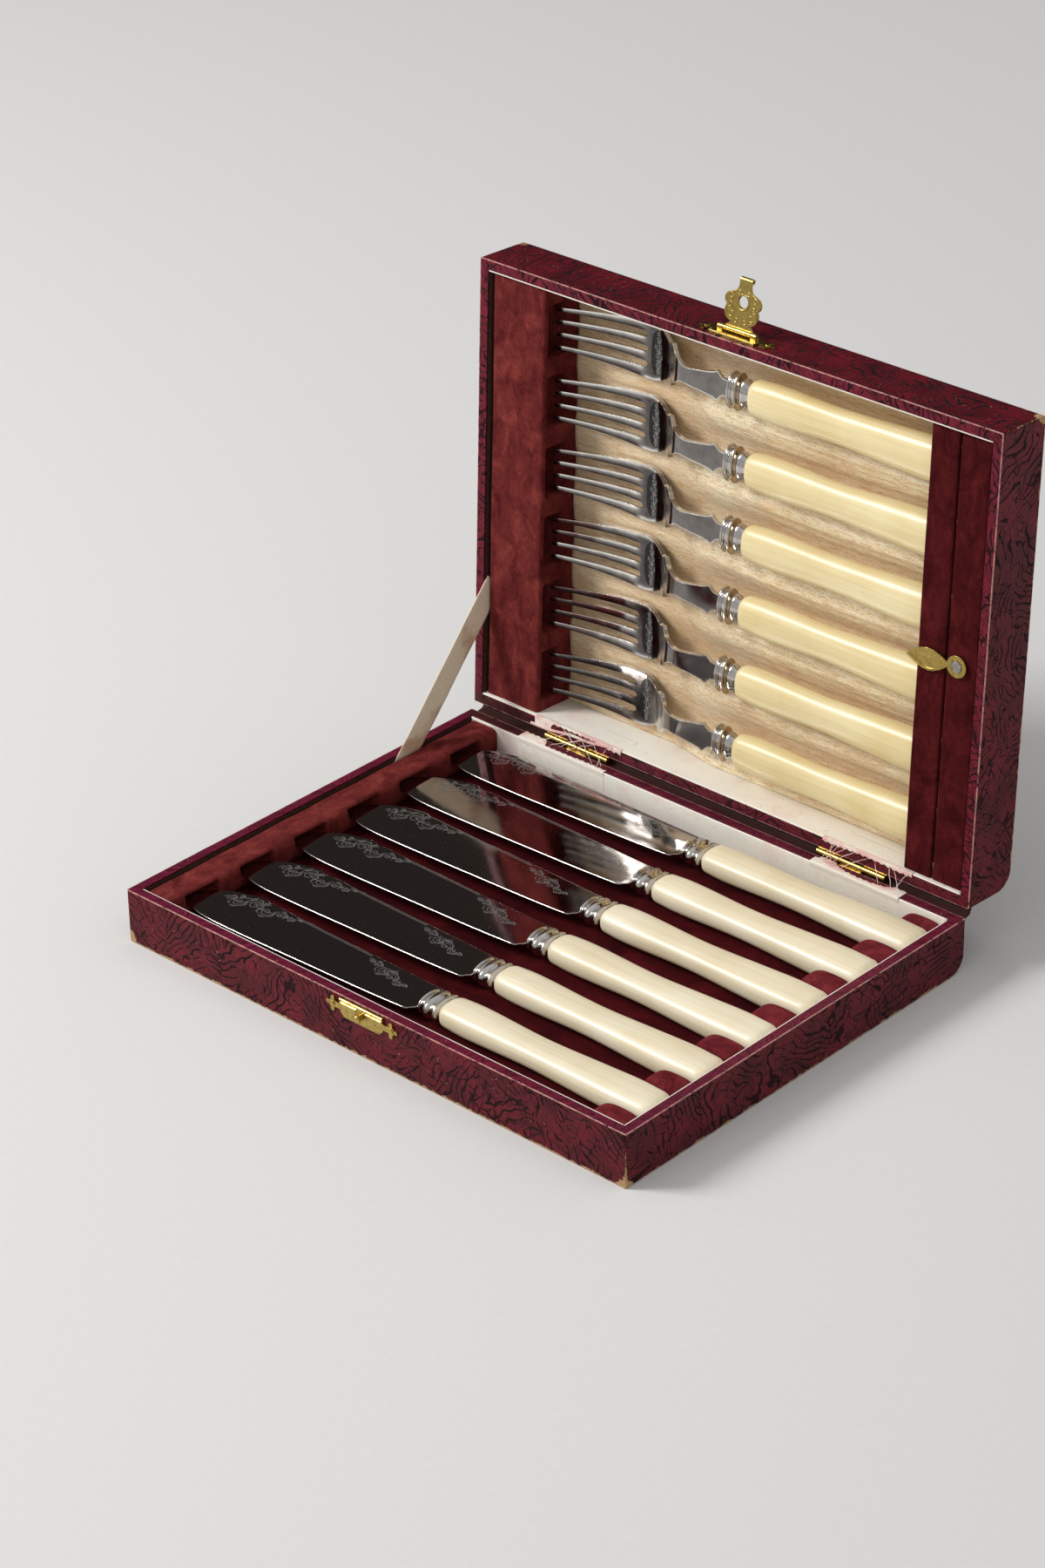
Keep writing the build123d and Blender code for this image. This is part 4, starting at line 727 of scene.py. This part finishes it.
stay_points = spread(-110.7 + kink * 0.6, stay_foot[0] + way_y * run - way_z * wide,
                     stay_foot[1] + way_z * run + way_y * wide)
stay = put("stay_tape", stay_points, [lattice(120, 14)], tape, "ribbon", None, ["stay_ribbon"], cloth=0.3)
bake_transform(stay)

# Brass. Plates, hasp, hinge leaves and turn button are stamped from sheet brass, lacquered and
# long since mottled; the small screw of the turn button is steel.
hasp_ring, hasp_bore, hasp_lean, hasp_pin = (9.9, 0.0), 2.7, math.radians(100.0), (-0.8, 176.0, 5.2)
hasp_at = [1.4, 2.6, 4.0, 5.6, 7.0, 8.0, 9.2, 10.4, 11.6, 12.6, 13.4, 14.4, 16.2]
hasp_half = [4.6, 3.9, 6.2, 7.2, 7.2, 6.7, 7.6, 7.9, 7.2, 5.6, 3.7, 2.9, 2.6]
hasp_curls = [(5.3, 4.3, 1.5, 0.5), (8.3, 5.0, 1.1, 2.2), (11.2, 5.1, 1.4, 3.6), (13.0, 1.9, 0.9, 5.2),
              (3.4, 1.8, 0.9, 1.0)]
brass, shader, place = begin("old lacquered brass")
mottle = noise(place, 0.7, 5.0, 0.65)
brass_colour = ramp(mottle, (0.28, paint(0.55, 0.45, 0.23)), (0.45, paint(0.71, 0.61, 0.335)),
                    (0.70, paint(0.80, 0.71, 0.42)))
surface(shader, brass_colour, span(mottle, 0.3, 0.7, 0.34, 0.22), mottle, 0.00002, 0.15, Metallic=1.0)
steel, shader, place = begin("dull steel")
surface(shader, mixed(noise(place, 3.0, 3.0), paint(0.72, 0.71, 0.69), paint(0.56, 0.54, 0.51)), 0.32, Metallic=1.0)
for solid, width in (("catch_plate", 0.16), ("catch_stud", 0.25), ("catch_pins", 0.2), ("hinge_base_leaves", 0.12),
                     ("hinge_lid_leaves", 0.12), ("hinge_pins", 0.1), ("hasp_plate", 0.16), ("hasp_plate_pins", 0.2),
                     ("hasp_hinge_pin", 0.1), ("turn_button", 0.2), ("hasp_flap", 0.16)):
    eased("brass_" + solid, solid, width, brass)
eased("steel_screw", "turn_button_screw", 0.12, steel)


def on_hasp(points):
    """Points (along, across, out) of the hasp, out from its pin's middle, where it stands 100 degrees
    open on the open lid."""
    along, across, out = np.moveaxis(points, -1, 0)
    rise = along * math.sin(hasp_lean) + out * math.cos(hasp_lean)
    depth = out * math.sin(hasp_lean) - along * math.cos(hasp_lean)
    return in_lid(spread(across, rise, depth) + hasp_pin)


def round_path(middle, angle, radius):
    """Flat points at an angle and a radius round a middle."""
    return spread(middle[0] + radius * np.cos(angle), middle[1] + radius * np.sin(angle))


def normals(lines):
    """Flat arrows of length 1 across the way of lines, a (..., points, 2) array."""
    way = np.gradient(lines, axis=-2)
    way /= np.maximum(np.linalg.norm(way, axis=-1, keepdims=True), 1e-9)
    return spread(-way[..., 1], way[..., 0])


def bead(path, radius, out):
    """A half-sunk round bead on the hasp's face: rings of eight points along a flat path."""
    turn = np.linspace(0, 2 * math.pi, 8, endpoint=False)
    thin = radius * np.clip(np.sin(math.pi * np.linspace(0, 1, len(path))) ** 0.35, 0.25, 1)[:, None]
    flat = path[:, None] + (thin * np.cos(turn))[..., None] * normals(path)[:, None]
    return np.concatenate([flat, out + (thin * np.sin(turn))[..., None] * 0.9], -1)


edge_along, curl_wind = np.linspace(1.4, 15.6, 90), np.linspace(0, 1, 30)
beads = [(round_path(hasp_ring, np.linspace(0, 2 * math.pi, 40), hasp_bore), 0.42)]
for side in (-1, 1):
    beads.append((spread(edge_along, side * (through(edge_along, hasp_at, hasp_half) - 0.6)), 0.32))
    for *middle, size, start in hasp_curls:
        curl = round_path(middle, start + 2.6 * math.pi * curl_wind, size * (1 - 0.78 * curl_wind))
        beads.append((curl * [1, side], 0.27))
relief = joined(tube(on_hasp(bead(path, radius, out))) for path, radius in beads for out in (0.32, 0.98))
put("hasp_relief", *relief, brass, "brass", "hasp")

# Knives. Each blade is a thin silver-plated plate with a ground edge, etched with scrolls beside
# its back near the tip and near the ferrule, and pinned by its tang in an ivory-coloured handle.
neck_x, knife_axis, blade_length, blade_face, collar_length = 7.6, 15.3, 111.4, 16.03, 9.35
knife_grip, gilt_groove, tip_start, heel_start, scroll_inset = (17.0, 93.1), -0.75, 66.5, 11.0, 1.0
back_at = [0, 68, 82, 84.4, 86.2, 88.6, 92.4, 98.4, 104, 107.2, 109.7, blade_length]
back_off = [7.6, 9.0, 9.45, 9.3, 10.0, 9.85, 8.9, 6.9, 3.4, 0.6, -2.5, -6.0]
edge_at = [0, 1.3, 2.2, 4.0, 44, 89.6, 97.5, 103, 108.5, blade_length]
edge_off = [-6.0, -7.2, -8.5, -9.0, -10.8, -12.0, -11.6, -10.4, -7.9, -6.0]
knife_collar = [(0, 0.50), (0.25, 0.80), (0.7, 0.86), (1.15, 0.80), (1.5, 0.58), (1.9, 0.56), (2.5, 0.72), (3.3, 0.92),
                (4.3, 0.99), (5.3, 0.93), (6.2, 0.72), (6.8, 0.60), (7.3, 0.66), (7.7, 0.92), (7.95, 1.0),
                (8.25, 1.0), (8.5, 0.90), (8.8, 0.74), (collar_length, 0.70)]
silver, shader, place = begin("polished silver plate")
wear = noise(place, 0.12, 5.0, 0.6)
scratch = noise(drawn(place, 0.07, 3.0, 1.0, turn=(0.0, 0.0, 0.3)), 1.0, 3.0)
flecked = ramp(noise(place, 1.7, 2.0), (0.70, 0.0), (0.76, 1.0)) * 0.35
surface(shader, mixed(wear, paint(0.80, 0.785, 0.77), paint(0.68, 0.66, 0.65)),
        span(wear, 0.35, 0.7, 0.05, 0.13) + flecked, scratch + wear * 3.0, 0.00001, 0.35, Metallic=1.0)
ferrule_silver, shader, place = begin("turned silver with a gilt groove")
tarnish_and_painted_light = noise(place, 0.5, 4.0)
gilt = fade(abs(node("SeparateXYZ", {0: place}, 0) - gilt_groove), 0.35, 0.6)
collar_colour = mixed(tarnish_and_painted_light, paint(0.84, 0.82, 0.80), paint(0.70, 0.68, 0.66))
surface(shader, mixed(gilt * 0.55, collar_colour, paint(0.66, 0.55, 0.34)), span(tarnish_and_painted_light, 0.3, 0.7, 0.10, 0.2),
        Metallic=1.0)
etched, shader, place = begin("etched frosted silver")
surface(shader, mixed(noise(place, 4.0, 3.0), paint(0.64, 0.63, 0.62), paint(0.52, 0.51, 0.50)), 0.62, Metallic=0.35)


def cast_ivory(name, pale, deep):
    """Cast ivory-coloured handle: faint long streaks, a polished face and light passing a little way in."""
    material, shader, place = begin(name)
    streak = noise(drawn(place, 0.018, 0.75, 0.75), 1.0, 4.0)
    tone = streak * 0.5 + noise(place, 0.05, 3.0) * 0.5
    surface(shader, ramp(tone, (0.36, pale), (0.66, deep)), 0.36, streak, 0.00001, 0.2, Specular_IOR_Level=0.5,
            Coat_Weight=0.2, Coat_Roughness=0.2, Subsurface_Weight=0.12, Subsurface_Scale=0.002,
            Subsurface_Radius=(1.0, 0.7, 0.4))
    return material


def quarter(at, low=0.0):
    """A quarter circle's height, 0 to 1, as at goes from 0 to 1. low is the least square of the height."""
    return np.sqrt(np.clip(1 - (1 - np.clip(at, 0, 1)) ** 2, low, 1))


def stretches(marks, counts):
    """Places from mark to mark, with that many between each two marks, both counted."""
    steps = [np.linspace(low, high, count)[1:] for low, high, count in zip(marks, marks[1:], counts)]
    return np.concatenate([marks[:1], *steps])


def blade_rings(axis_y):
    """The blade's outline runs between its back and its edge; across, it is flat with a ground bevel
    at the edge, and both long sides are rounded by a quarter ellipse."""
    blade_along = stretches([0, 4, 84, blade_length], [14, 90, 110])
    back_line, edge_line = through(blade_along, back_at, back_off), through(blade_along, edge_at, edge_off)
    share = np.concatenate([[0, 0.004, 0.012, 0.025], np.linspace(0.045, 0.90, 20), [0.945, 0.987, 0.989, 0.995, 1.0]])
    half = 0.7 - 0.36 * share ** 2 - 0.26 * np.clip((share - 0.989) / 0.011, 0, 1)
    half *= quarter(share / 0.025, 0.02)
    half[-1] = 0.04
    across = back_line[:, None] + (edge_line - back_line)[:, None] * np.concatenate([share, share[::-1]])
    taper = np.clip((blade_length - blade_along) / 5.0, 0.12, 1.0)[:, None] ** 0.5
    thick = np.concatenate([half, -half[::-1]]) * taper
    return spread(neck_x - blade_along[:, None], axis_y + across, knife_axis + thick)


def engraved(scrolls):
    """Leaf scrolls, each (along, in, size, start, turns, hand): a spiral that closes as it winds, an
    outer line that echoes it, and three curled leaves that spring from that line. A stem runs through
    all the middles. Gives (lines, points, 2)."""
    wind = np.linspace(0, 1, 30)
    lines = []
    for *middle, size, start, turns, hand in scrolls:
        lines.append(round_path(middle, start + hand * 2 * math.pi * turns * wind, size * (1 - 0.86 * wind)))
        echo = size * (1.20 + 0.08 * np.sin(math.pi * wind))
        lines.append(round_path(middle, start + hand * (2.6 * wind - 0.3), echo))
        leaf = size * (1.08 + 0.42 * np.sin(math.pi * wind * 0.8))
        lines += [round_path(middle, start + hand * (0.3 + 1.25 * step + 0.9 * wind ** 2), leaf) for step in range(3)]
    middles = np.array([scroll[:2] for scroll in scrolls])
    at = np.linspace(0, 1, len(middles))
    lines.append(spread(*[np.interp(wind, at, middles[:, axis]) for axis in (0, 1)]))
    return np.array(lines)


def ribbons(lines, width):
    """Points and faces of thin flat ribbons along lines, a (lines, points, 2) array, that narrow to
    their ends."""
    share = np.linspace(0, 1, lines.shape[1])[:, None]
    half = normals(lines) * (width / 2 * (0.35 + 0.65 * np.sin(math.pi * share) ** 0.6))
    sides = np.stack([lines - half, lines + half], 2)
    return joined((pair, [lattice(len(pair), 2)]) for pair in sides)


def on_blade(axis_y, distance, inset):
    """Points just above the blade's face, at a distance from the ferrule and an inset from the back."""
    return spread(neck_x - distance, axis_y + through(distance, back_at, back_off) - inset, blade_face)


def oval_rings(x, half_wide, half_high, axis_y, axis_z, squareness):
    """Rings round a long axis at each x: an oval whose cosine and sine are taken to 2 / squareness."""
    turn = np.linspace(0, 2 * math.pi, 48, endpoint=False)
    wide, high = (squared(wave(turn), 2 / squareness) for wave in (np.cos, np.sin))
    return spread(x[:, None], axis_y + half_wide[:, None] * wide, axis_z + half_high[:, None] * high)


def handle_rings(start, length, axis_y, axis_z):
    """The handle's oval swells, narrows at a waist and swells again to a domed butt."""
    dome = np.sin(np.linspace(0, math.pi / 2, 14))
    share = np.concatenate([0.028 * (1 - dome[::-1]), np.linspace(0.028, 0.955, 70)[1:-1], 0.955 + 0.045 * dome])
    full = through(share, [0, 0.03, 0.12, 0.42, 0.7, 0.86, 0.955, 1.0], [0.80, 0.84, 0.9, 0.81, 0.93, 1.0, 0.965, 0.93])
    near = quarter(share / 0.028) * 0.32 + 0.68
    far = 0.35 + 0.65 * np.clip(1 - np.clip((share - 0.955) / 0.045, 0, 1) ** 2.6, 0, 1) ** (1 / 2.6)
    return oval_rings(start + length * share, 7.6 * full * near * far, 5.3 * full * near * far, axis_y, axis_z, 2.6)


def collar_rings(x_low, sizes, axis_y, axis_z):
    """The turned ferrule: its oval follows the sizes, (distance, share), from neck to handle."""
    at, size = np.array(sizes).T
    distance = np.linspace(0, 1, 72) * collar_length
    full = through(distance, at, size)
    return oval_rings(x_low + distance, 6.9 * full, 4.3 * full, axis_y, axis_z, 2.1)


ivory = cast_ivory("cream handle of the knives", paint(0.955, 0.915, 0.81), paint(0.90, 0.84, 0.70))
tip_scroll = engraved([
    (1.0, 1.0, 0.6, 3.0, 1.2, 1), (4.4, 1.9, 1.2, 3.4, 1.3, -1), (8.9, 3.2, 1.8, 2.9, 1.5, 1),
    (14.4, 4.6, 2.4, 3.6, 1.5, -1), (20.6, 4.7, 2.6, 2.8, 1.6, 1), (17.3, 1.3, 0.8, 0.5, 1.2, -1),
    (26.4, 5.6, 2.2, 3.5, 1.6, -1), (30.8, 4.0, 1.5, 2.6, 1.4, 1), (23.6, 1.4, 0.8, 0.8, 1.2, 1),
    (28.0, 2.0, 0.8, 5.5, 1.2, -1)])
heel_scroll = engraved([
    (0.6, 6.6, 0.8, 3.0, 1.2, 1), (3.6, 6.2, 1.5, 3.3, 1.4, -1), (8.0, 5.6, 2.1, 2.8, 1.5, 1),
    (12.8, 4.4, 2.0, 3.5, 1.5, -1), (9.4, 2.2, 0.8, 0.6, 1.2, 1), (17.0, 3.0, 1.5, 2.9, 1.4, 1),
    (20.0, 1.6, 0.9, 3.3, 1.2, -1)])
scrollwork = joined((lines + [start, scroll_inset], faces) for start, (lines, faces) in (
    (tip_start, ribbons(tip_scroll, 0.16)), (heel_start, ribbons(heel_scroll, 0.16))))
rule = spread(np.linspace(33.0, 70.0, 60)[:, None], [0.06, -0.06])
etch_flat, etch_faces = joined([scrollwork, *[(rule + [0.0, inset], [lattice(60, 2)]) for inset in (0.9, 1.5)]])
for number, axis_y in enumerate(knife_y):
    body = f"knife_{number + 1}"
    put(body + "_plate", *tube(blade_rings(axis_y)), silver, "silver_plate", body, [body + "_blade"])
    put(body + "_etching", on_blade(axis_y, *etch_flat.T), etch_faces, etched, "silver_plate", body, closed=False)
    collar = tube(collar_rings(neck_x, knife_collar, axis_y, knife_axis))
    put(body + "_collar", *collar, ferrule_silver, "silver_plate", body, [body + "_ferrule"])
    grip = tube(handle_rings(*knife_grip, axis_y, knife_axis))
    put(body + "_grip", *grip, ivory, "handle_cream", body, [body + "_handle"])

# Forks. Each is cut from plated sheet with cusped sides and four tines, bent down at the palm and
# up again along the tines, and set in the same ferrule and a yellower handle.
fork_neck, fork_axis, fork_grip, tine_root, tine_end = -5.4, 9.0, (4.0, 90.0), 44.6, 81.4
palm_middle, palm_scroll_middle, palm_face = 39.4, 7.6, 0.775
fork_at = [-1, 0, 3.2, 4.6, 5.8, 7.0, 8.6, 14, 20, 25.6, 27.8, 29.0, 30.2, 31.6, 33.6, 36.4, 41.8, 60, tine_end]
fork_half = [2.9, 2.9, 3.2, 4.3, 5.5, 4.9, 4.5, 3.7, 3.1, 4.8, 6.7, 7.9, 7.2, 6.7, 7.6, 9.2, 10.5, 9.3, 7.7]
bend_at = [-1, 6, 17.5, 24, 29, 34, 40, 50, 60, 71, 82.5]
bend_depth = [9.0, 8.4, 7.7, 9.4, 12.4, 15.4, 17.2, 17.1, 15.7, 13.1, 9.6]
# Painted reflection bands: how dark the fork's silver is painted at each distance from the ferrule, dark where the bend
# would mirror dark surroundings and light where a highlight is painted across it.
painted_band_at = [-1, 3, 8, 22, 27, 30.5, 33, 37, 42, 45, 48]
painted_band_share = [0.35, 0.6, 0.66, 0.6, 0.2, 0.0, 0.6, 0.8, 0.85, 0.75, 0.6]
fork_collar = [(0, 0.50), (0.3, 0.88), (0.6, 0.98), (0.95, 1.0), (1.25, 0.93), (1.45, 0.80), (1.9, 0.80), (2.5, 0.87),
               (3.1, 0.82), (3.3, 0.93), (3.65, 1.0), (4.05, 1.0), (4.3, 0.93), (4.5, 0.70), (4.9, 0.62),
               (5.5, 0.74), (6.3, 0.81), (7.2, 0.79), (8.1, 0.68), (collar_length, 0.62)]
deep_ivory = cast_ivory("yellower handle of the forks", paint(0.945, 0.885, 0.70), paint(0.89, 0.80, 0.57))
# The forks' silver is painted from bright to dark by a painted light-and-shade attribute on the mesh; the noise on it
# is wear.
fork_silver, shader, place = begin("silver plate with painted light and shade")
tarnish_and_painted_light = node("Attribute", {}, 2, shader.id_data, attribute_name="tarnish_and_painted_light")
wear = noise(place, 0.25, 5.0, 0.6)
fork_colour = ramp(tarnish_and_painted_light + (wear - 0.5) * 0.35, (0.0, paint(0.90, 0.89, 0.87)), (0.45, paint(0.56, 0.54, 0.53)),
                   (1.0, paint(0.20, 0.175, 0.17)))
surface(shader, fork_colour, span(wear, 0.35, 0.7, 0.09, 0.2), Metallic=1.0)
# A dark sheet over the palm's bend: partly the engraving's own blackened ground, partly a painted dark reflection such
# as the bend would mirror.
blackened, shader, place = begin("blackened engraving ground and painted dark reflection")
dark_panel_mottle = noise(place, 1.2, 3.0)
surface(shader, mixed(dark_panel_mottle, paint(0.09, 0.085, 0.085), paint(0.19, 0.175, 0.17)), 0.3, Metallic=0.6)


def fork_depth(distance, across):
    """How deep in the lid the fork's middle layer lies: it follows the bend and rises to both edges."""
    return through(distance, bend_at, bend_depth) - 0.7 * (across / 10.5) ** 2


def fork_tines(rise):
    """The fork's middle layer: for each tine a grid along it, between the fork's edge and the gaps.
    A gap opens at the root as a half circle, and before it the tines meet. Gives the four grids and
    the painted light and shade of each point: painted reflection bands along the palm and stem, a painted highlight
    toward the outline, and on each tine a painted highlight on its upper side and painted shade on its lower side."""
    fork_along = stretches([-1, 28, 43.4, 47.5, 79.6, tine_end], [62, 44, 16, 50, 8])
    half = through(fork_along, fork_at, fork_half)
    past_root = fork_along - tine_root
    open_share = np.clip(past_root / (tine_end - tine_root), 0, 1)
    gap = (2.3 + 1.05 * open_share ** 0.6) * quarter(past_root / 1.2)
    pitch = 5.6 - 0.85 * open_share
    narrow = np.where(past_root < 0, np.minimum(half / (2 * 5.6) * 1.03, 1.0), 1.0)
    middles = np.stack([-pitch, 0 * pitch, pitch]) * narrow
    lows, highs = np.concatenate([-half[None], middles + gap / 2]), np.concatenate([middles - gap / 2, half[None]])
    tip = quarter((tine_end - fork_along) / 1.1, 0.03)
    share = np.linspace(-1, 1, 9)
    across = ((lows + highs) / 2)[:, :, None] + ((highs - lows) / 2 * tip)[:, :, None] * share
    fork_along, half = fork_along[:, None], half[:, None]
    # Toward the outline the palm is painted lighter, a painted highlight on its edges.
    rim = np.clip((np.abs(across) / half - 0.86) / 0.08, 0, 1)
    palm_painted_reflection = through(fork_along, painted_band_at, painted_band_share) * (1 - 0.8 * rim)
    # Each tine is painted lighter on its upper side and darker on its lower side: painted highlight and painted shade.
    tine_painted_light = 0.54 - 0.70 * np.clip(share, 0, 1) + 0.55 * np.clip(-share, 0, 1)
    on_tine = np.clip((fork_along - tine_root) / 3.0, 0, 1)
    tarnish_and_painted_light = palm_painted_reflection * (1 - on_tine) + tine_painted_light * on_tine
    return spread(fork_neck - fork_along, rise + across, fork_depth(fork_along, across)), np.clip(tarnish_and_painted_light, 0, 1)


palm_scroll, palm_faces = ribbons(engraved([
    (0.6, 0.3, 0.7, 3.0, 1.3, 1), (3.0, -0.5, 1.1, 3.4, 1.5, -1), (6.2, 0.5, 1.5, 2.8, 1.6, 1),
    (9.6, -0.4, 1.5, 3.5, 1.6, -1), (12.6, 0.4, 1.0, 2.9, 1.4, 1), (14.8, -0.2, 0.6, 3.2, 1.2, -1)]), 0.2)
panel_across = np.linspace(-8.4, 8.4, 60)[:, None]
panel_along = 3.5 * np.linspace(-1, 1, 16) * np.clip(1 - np.abs(panel_across / 8.4) ** 3.0, 0.02, 1) ** 0.5
panel = spread(panel_across, panel_along)
palm_flat, palm_faces = joined([(palm_scroll - [palm_scroll_middle, 0.0], palm_faces), (panel, [lattice(60, 16)])])
palm_across, palm_along = palm_flat.T + [[0.0], [palm_middle]]
palm_depth = fork_depth(palm_along, palm_across) - palm_face
palm_depth[:len(palm_scroll)] -= 0.03
collars = []
for number, rise in enumerate(fork_rise):
    name = f"fork_{number + 1}"
    grids, tarnish_and_painted_light = fork_tines(rise)
    tines = joined((grid, [lattice(*grid.shape[:2])]) for grid in in_lid(grids))
    fork = put(name + "_body", *tines, fork_silver, "silver_plate", "lid", [name], closed=False)
    fork.data.attributes.new("tarnish_and_painted_light", "FLOAT", "POINT").data.foreach_set("value", tarnish_and_painted_light.ravel().astype(np.float32))
    work = bmesh.new()
    work.from_mesh(fork.data)
    bmesh.ops.remove_doubles(work, verts=work.verts, dist=1.5e-5)
    work.to_mesh(fork.data)
    work.free()
    thickness = fork.modifiers.new("sheet thickness", "SOLIDIFY")
    thickness.thickness, thickness.offset = 0.0015, 0.0
    rounding = fork.modifiers.new("rubbed edges", "BEVEL")
    rounding.width, rounding.segments, rounding.limit_method = 0.00052, 4, "ANGLE"
    rounding.angle_limit = math.radians(50)
    fork.modifiers.new("even shading", "WEIGHTED_NORMAL")
    etching = put(name + "_etching", in_lid(spread(fork_neck - palm_along, rise + palm_across, palm_depth)), palm_faces,
                  etched, "silver_plate", "lid", closed=False)
    etching.data.materials.append(blackened)
    on_panel = np.arange(len(etching.data.polygons)) >= len(etching.data.polygons) - len(palm_faces[-1])
    etching.data.polygons.foreach_set("material_index", on_panel.astype(np.int32))
    grip = tube(in_lid(handle_rings(*fork_grip, rise, fork_axis)))
    put(name + "_grip", *grip, deep_ivory, "handle_cream", "lid", [name + "_handle"])
    collars.append(tube(in_lid(collar_rings(fork_neck, fork_collar, rise, fork_axis))))
put("fork_collars", *joined(collars), ferrule_silver, "silver_plate", "lid", ["fork_ferrules"])
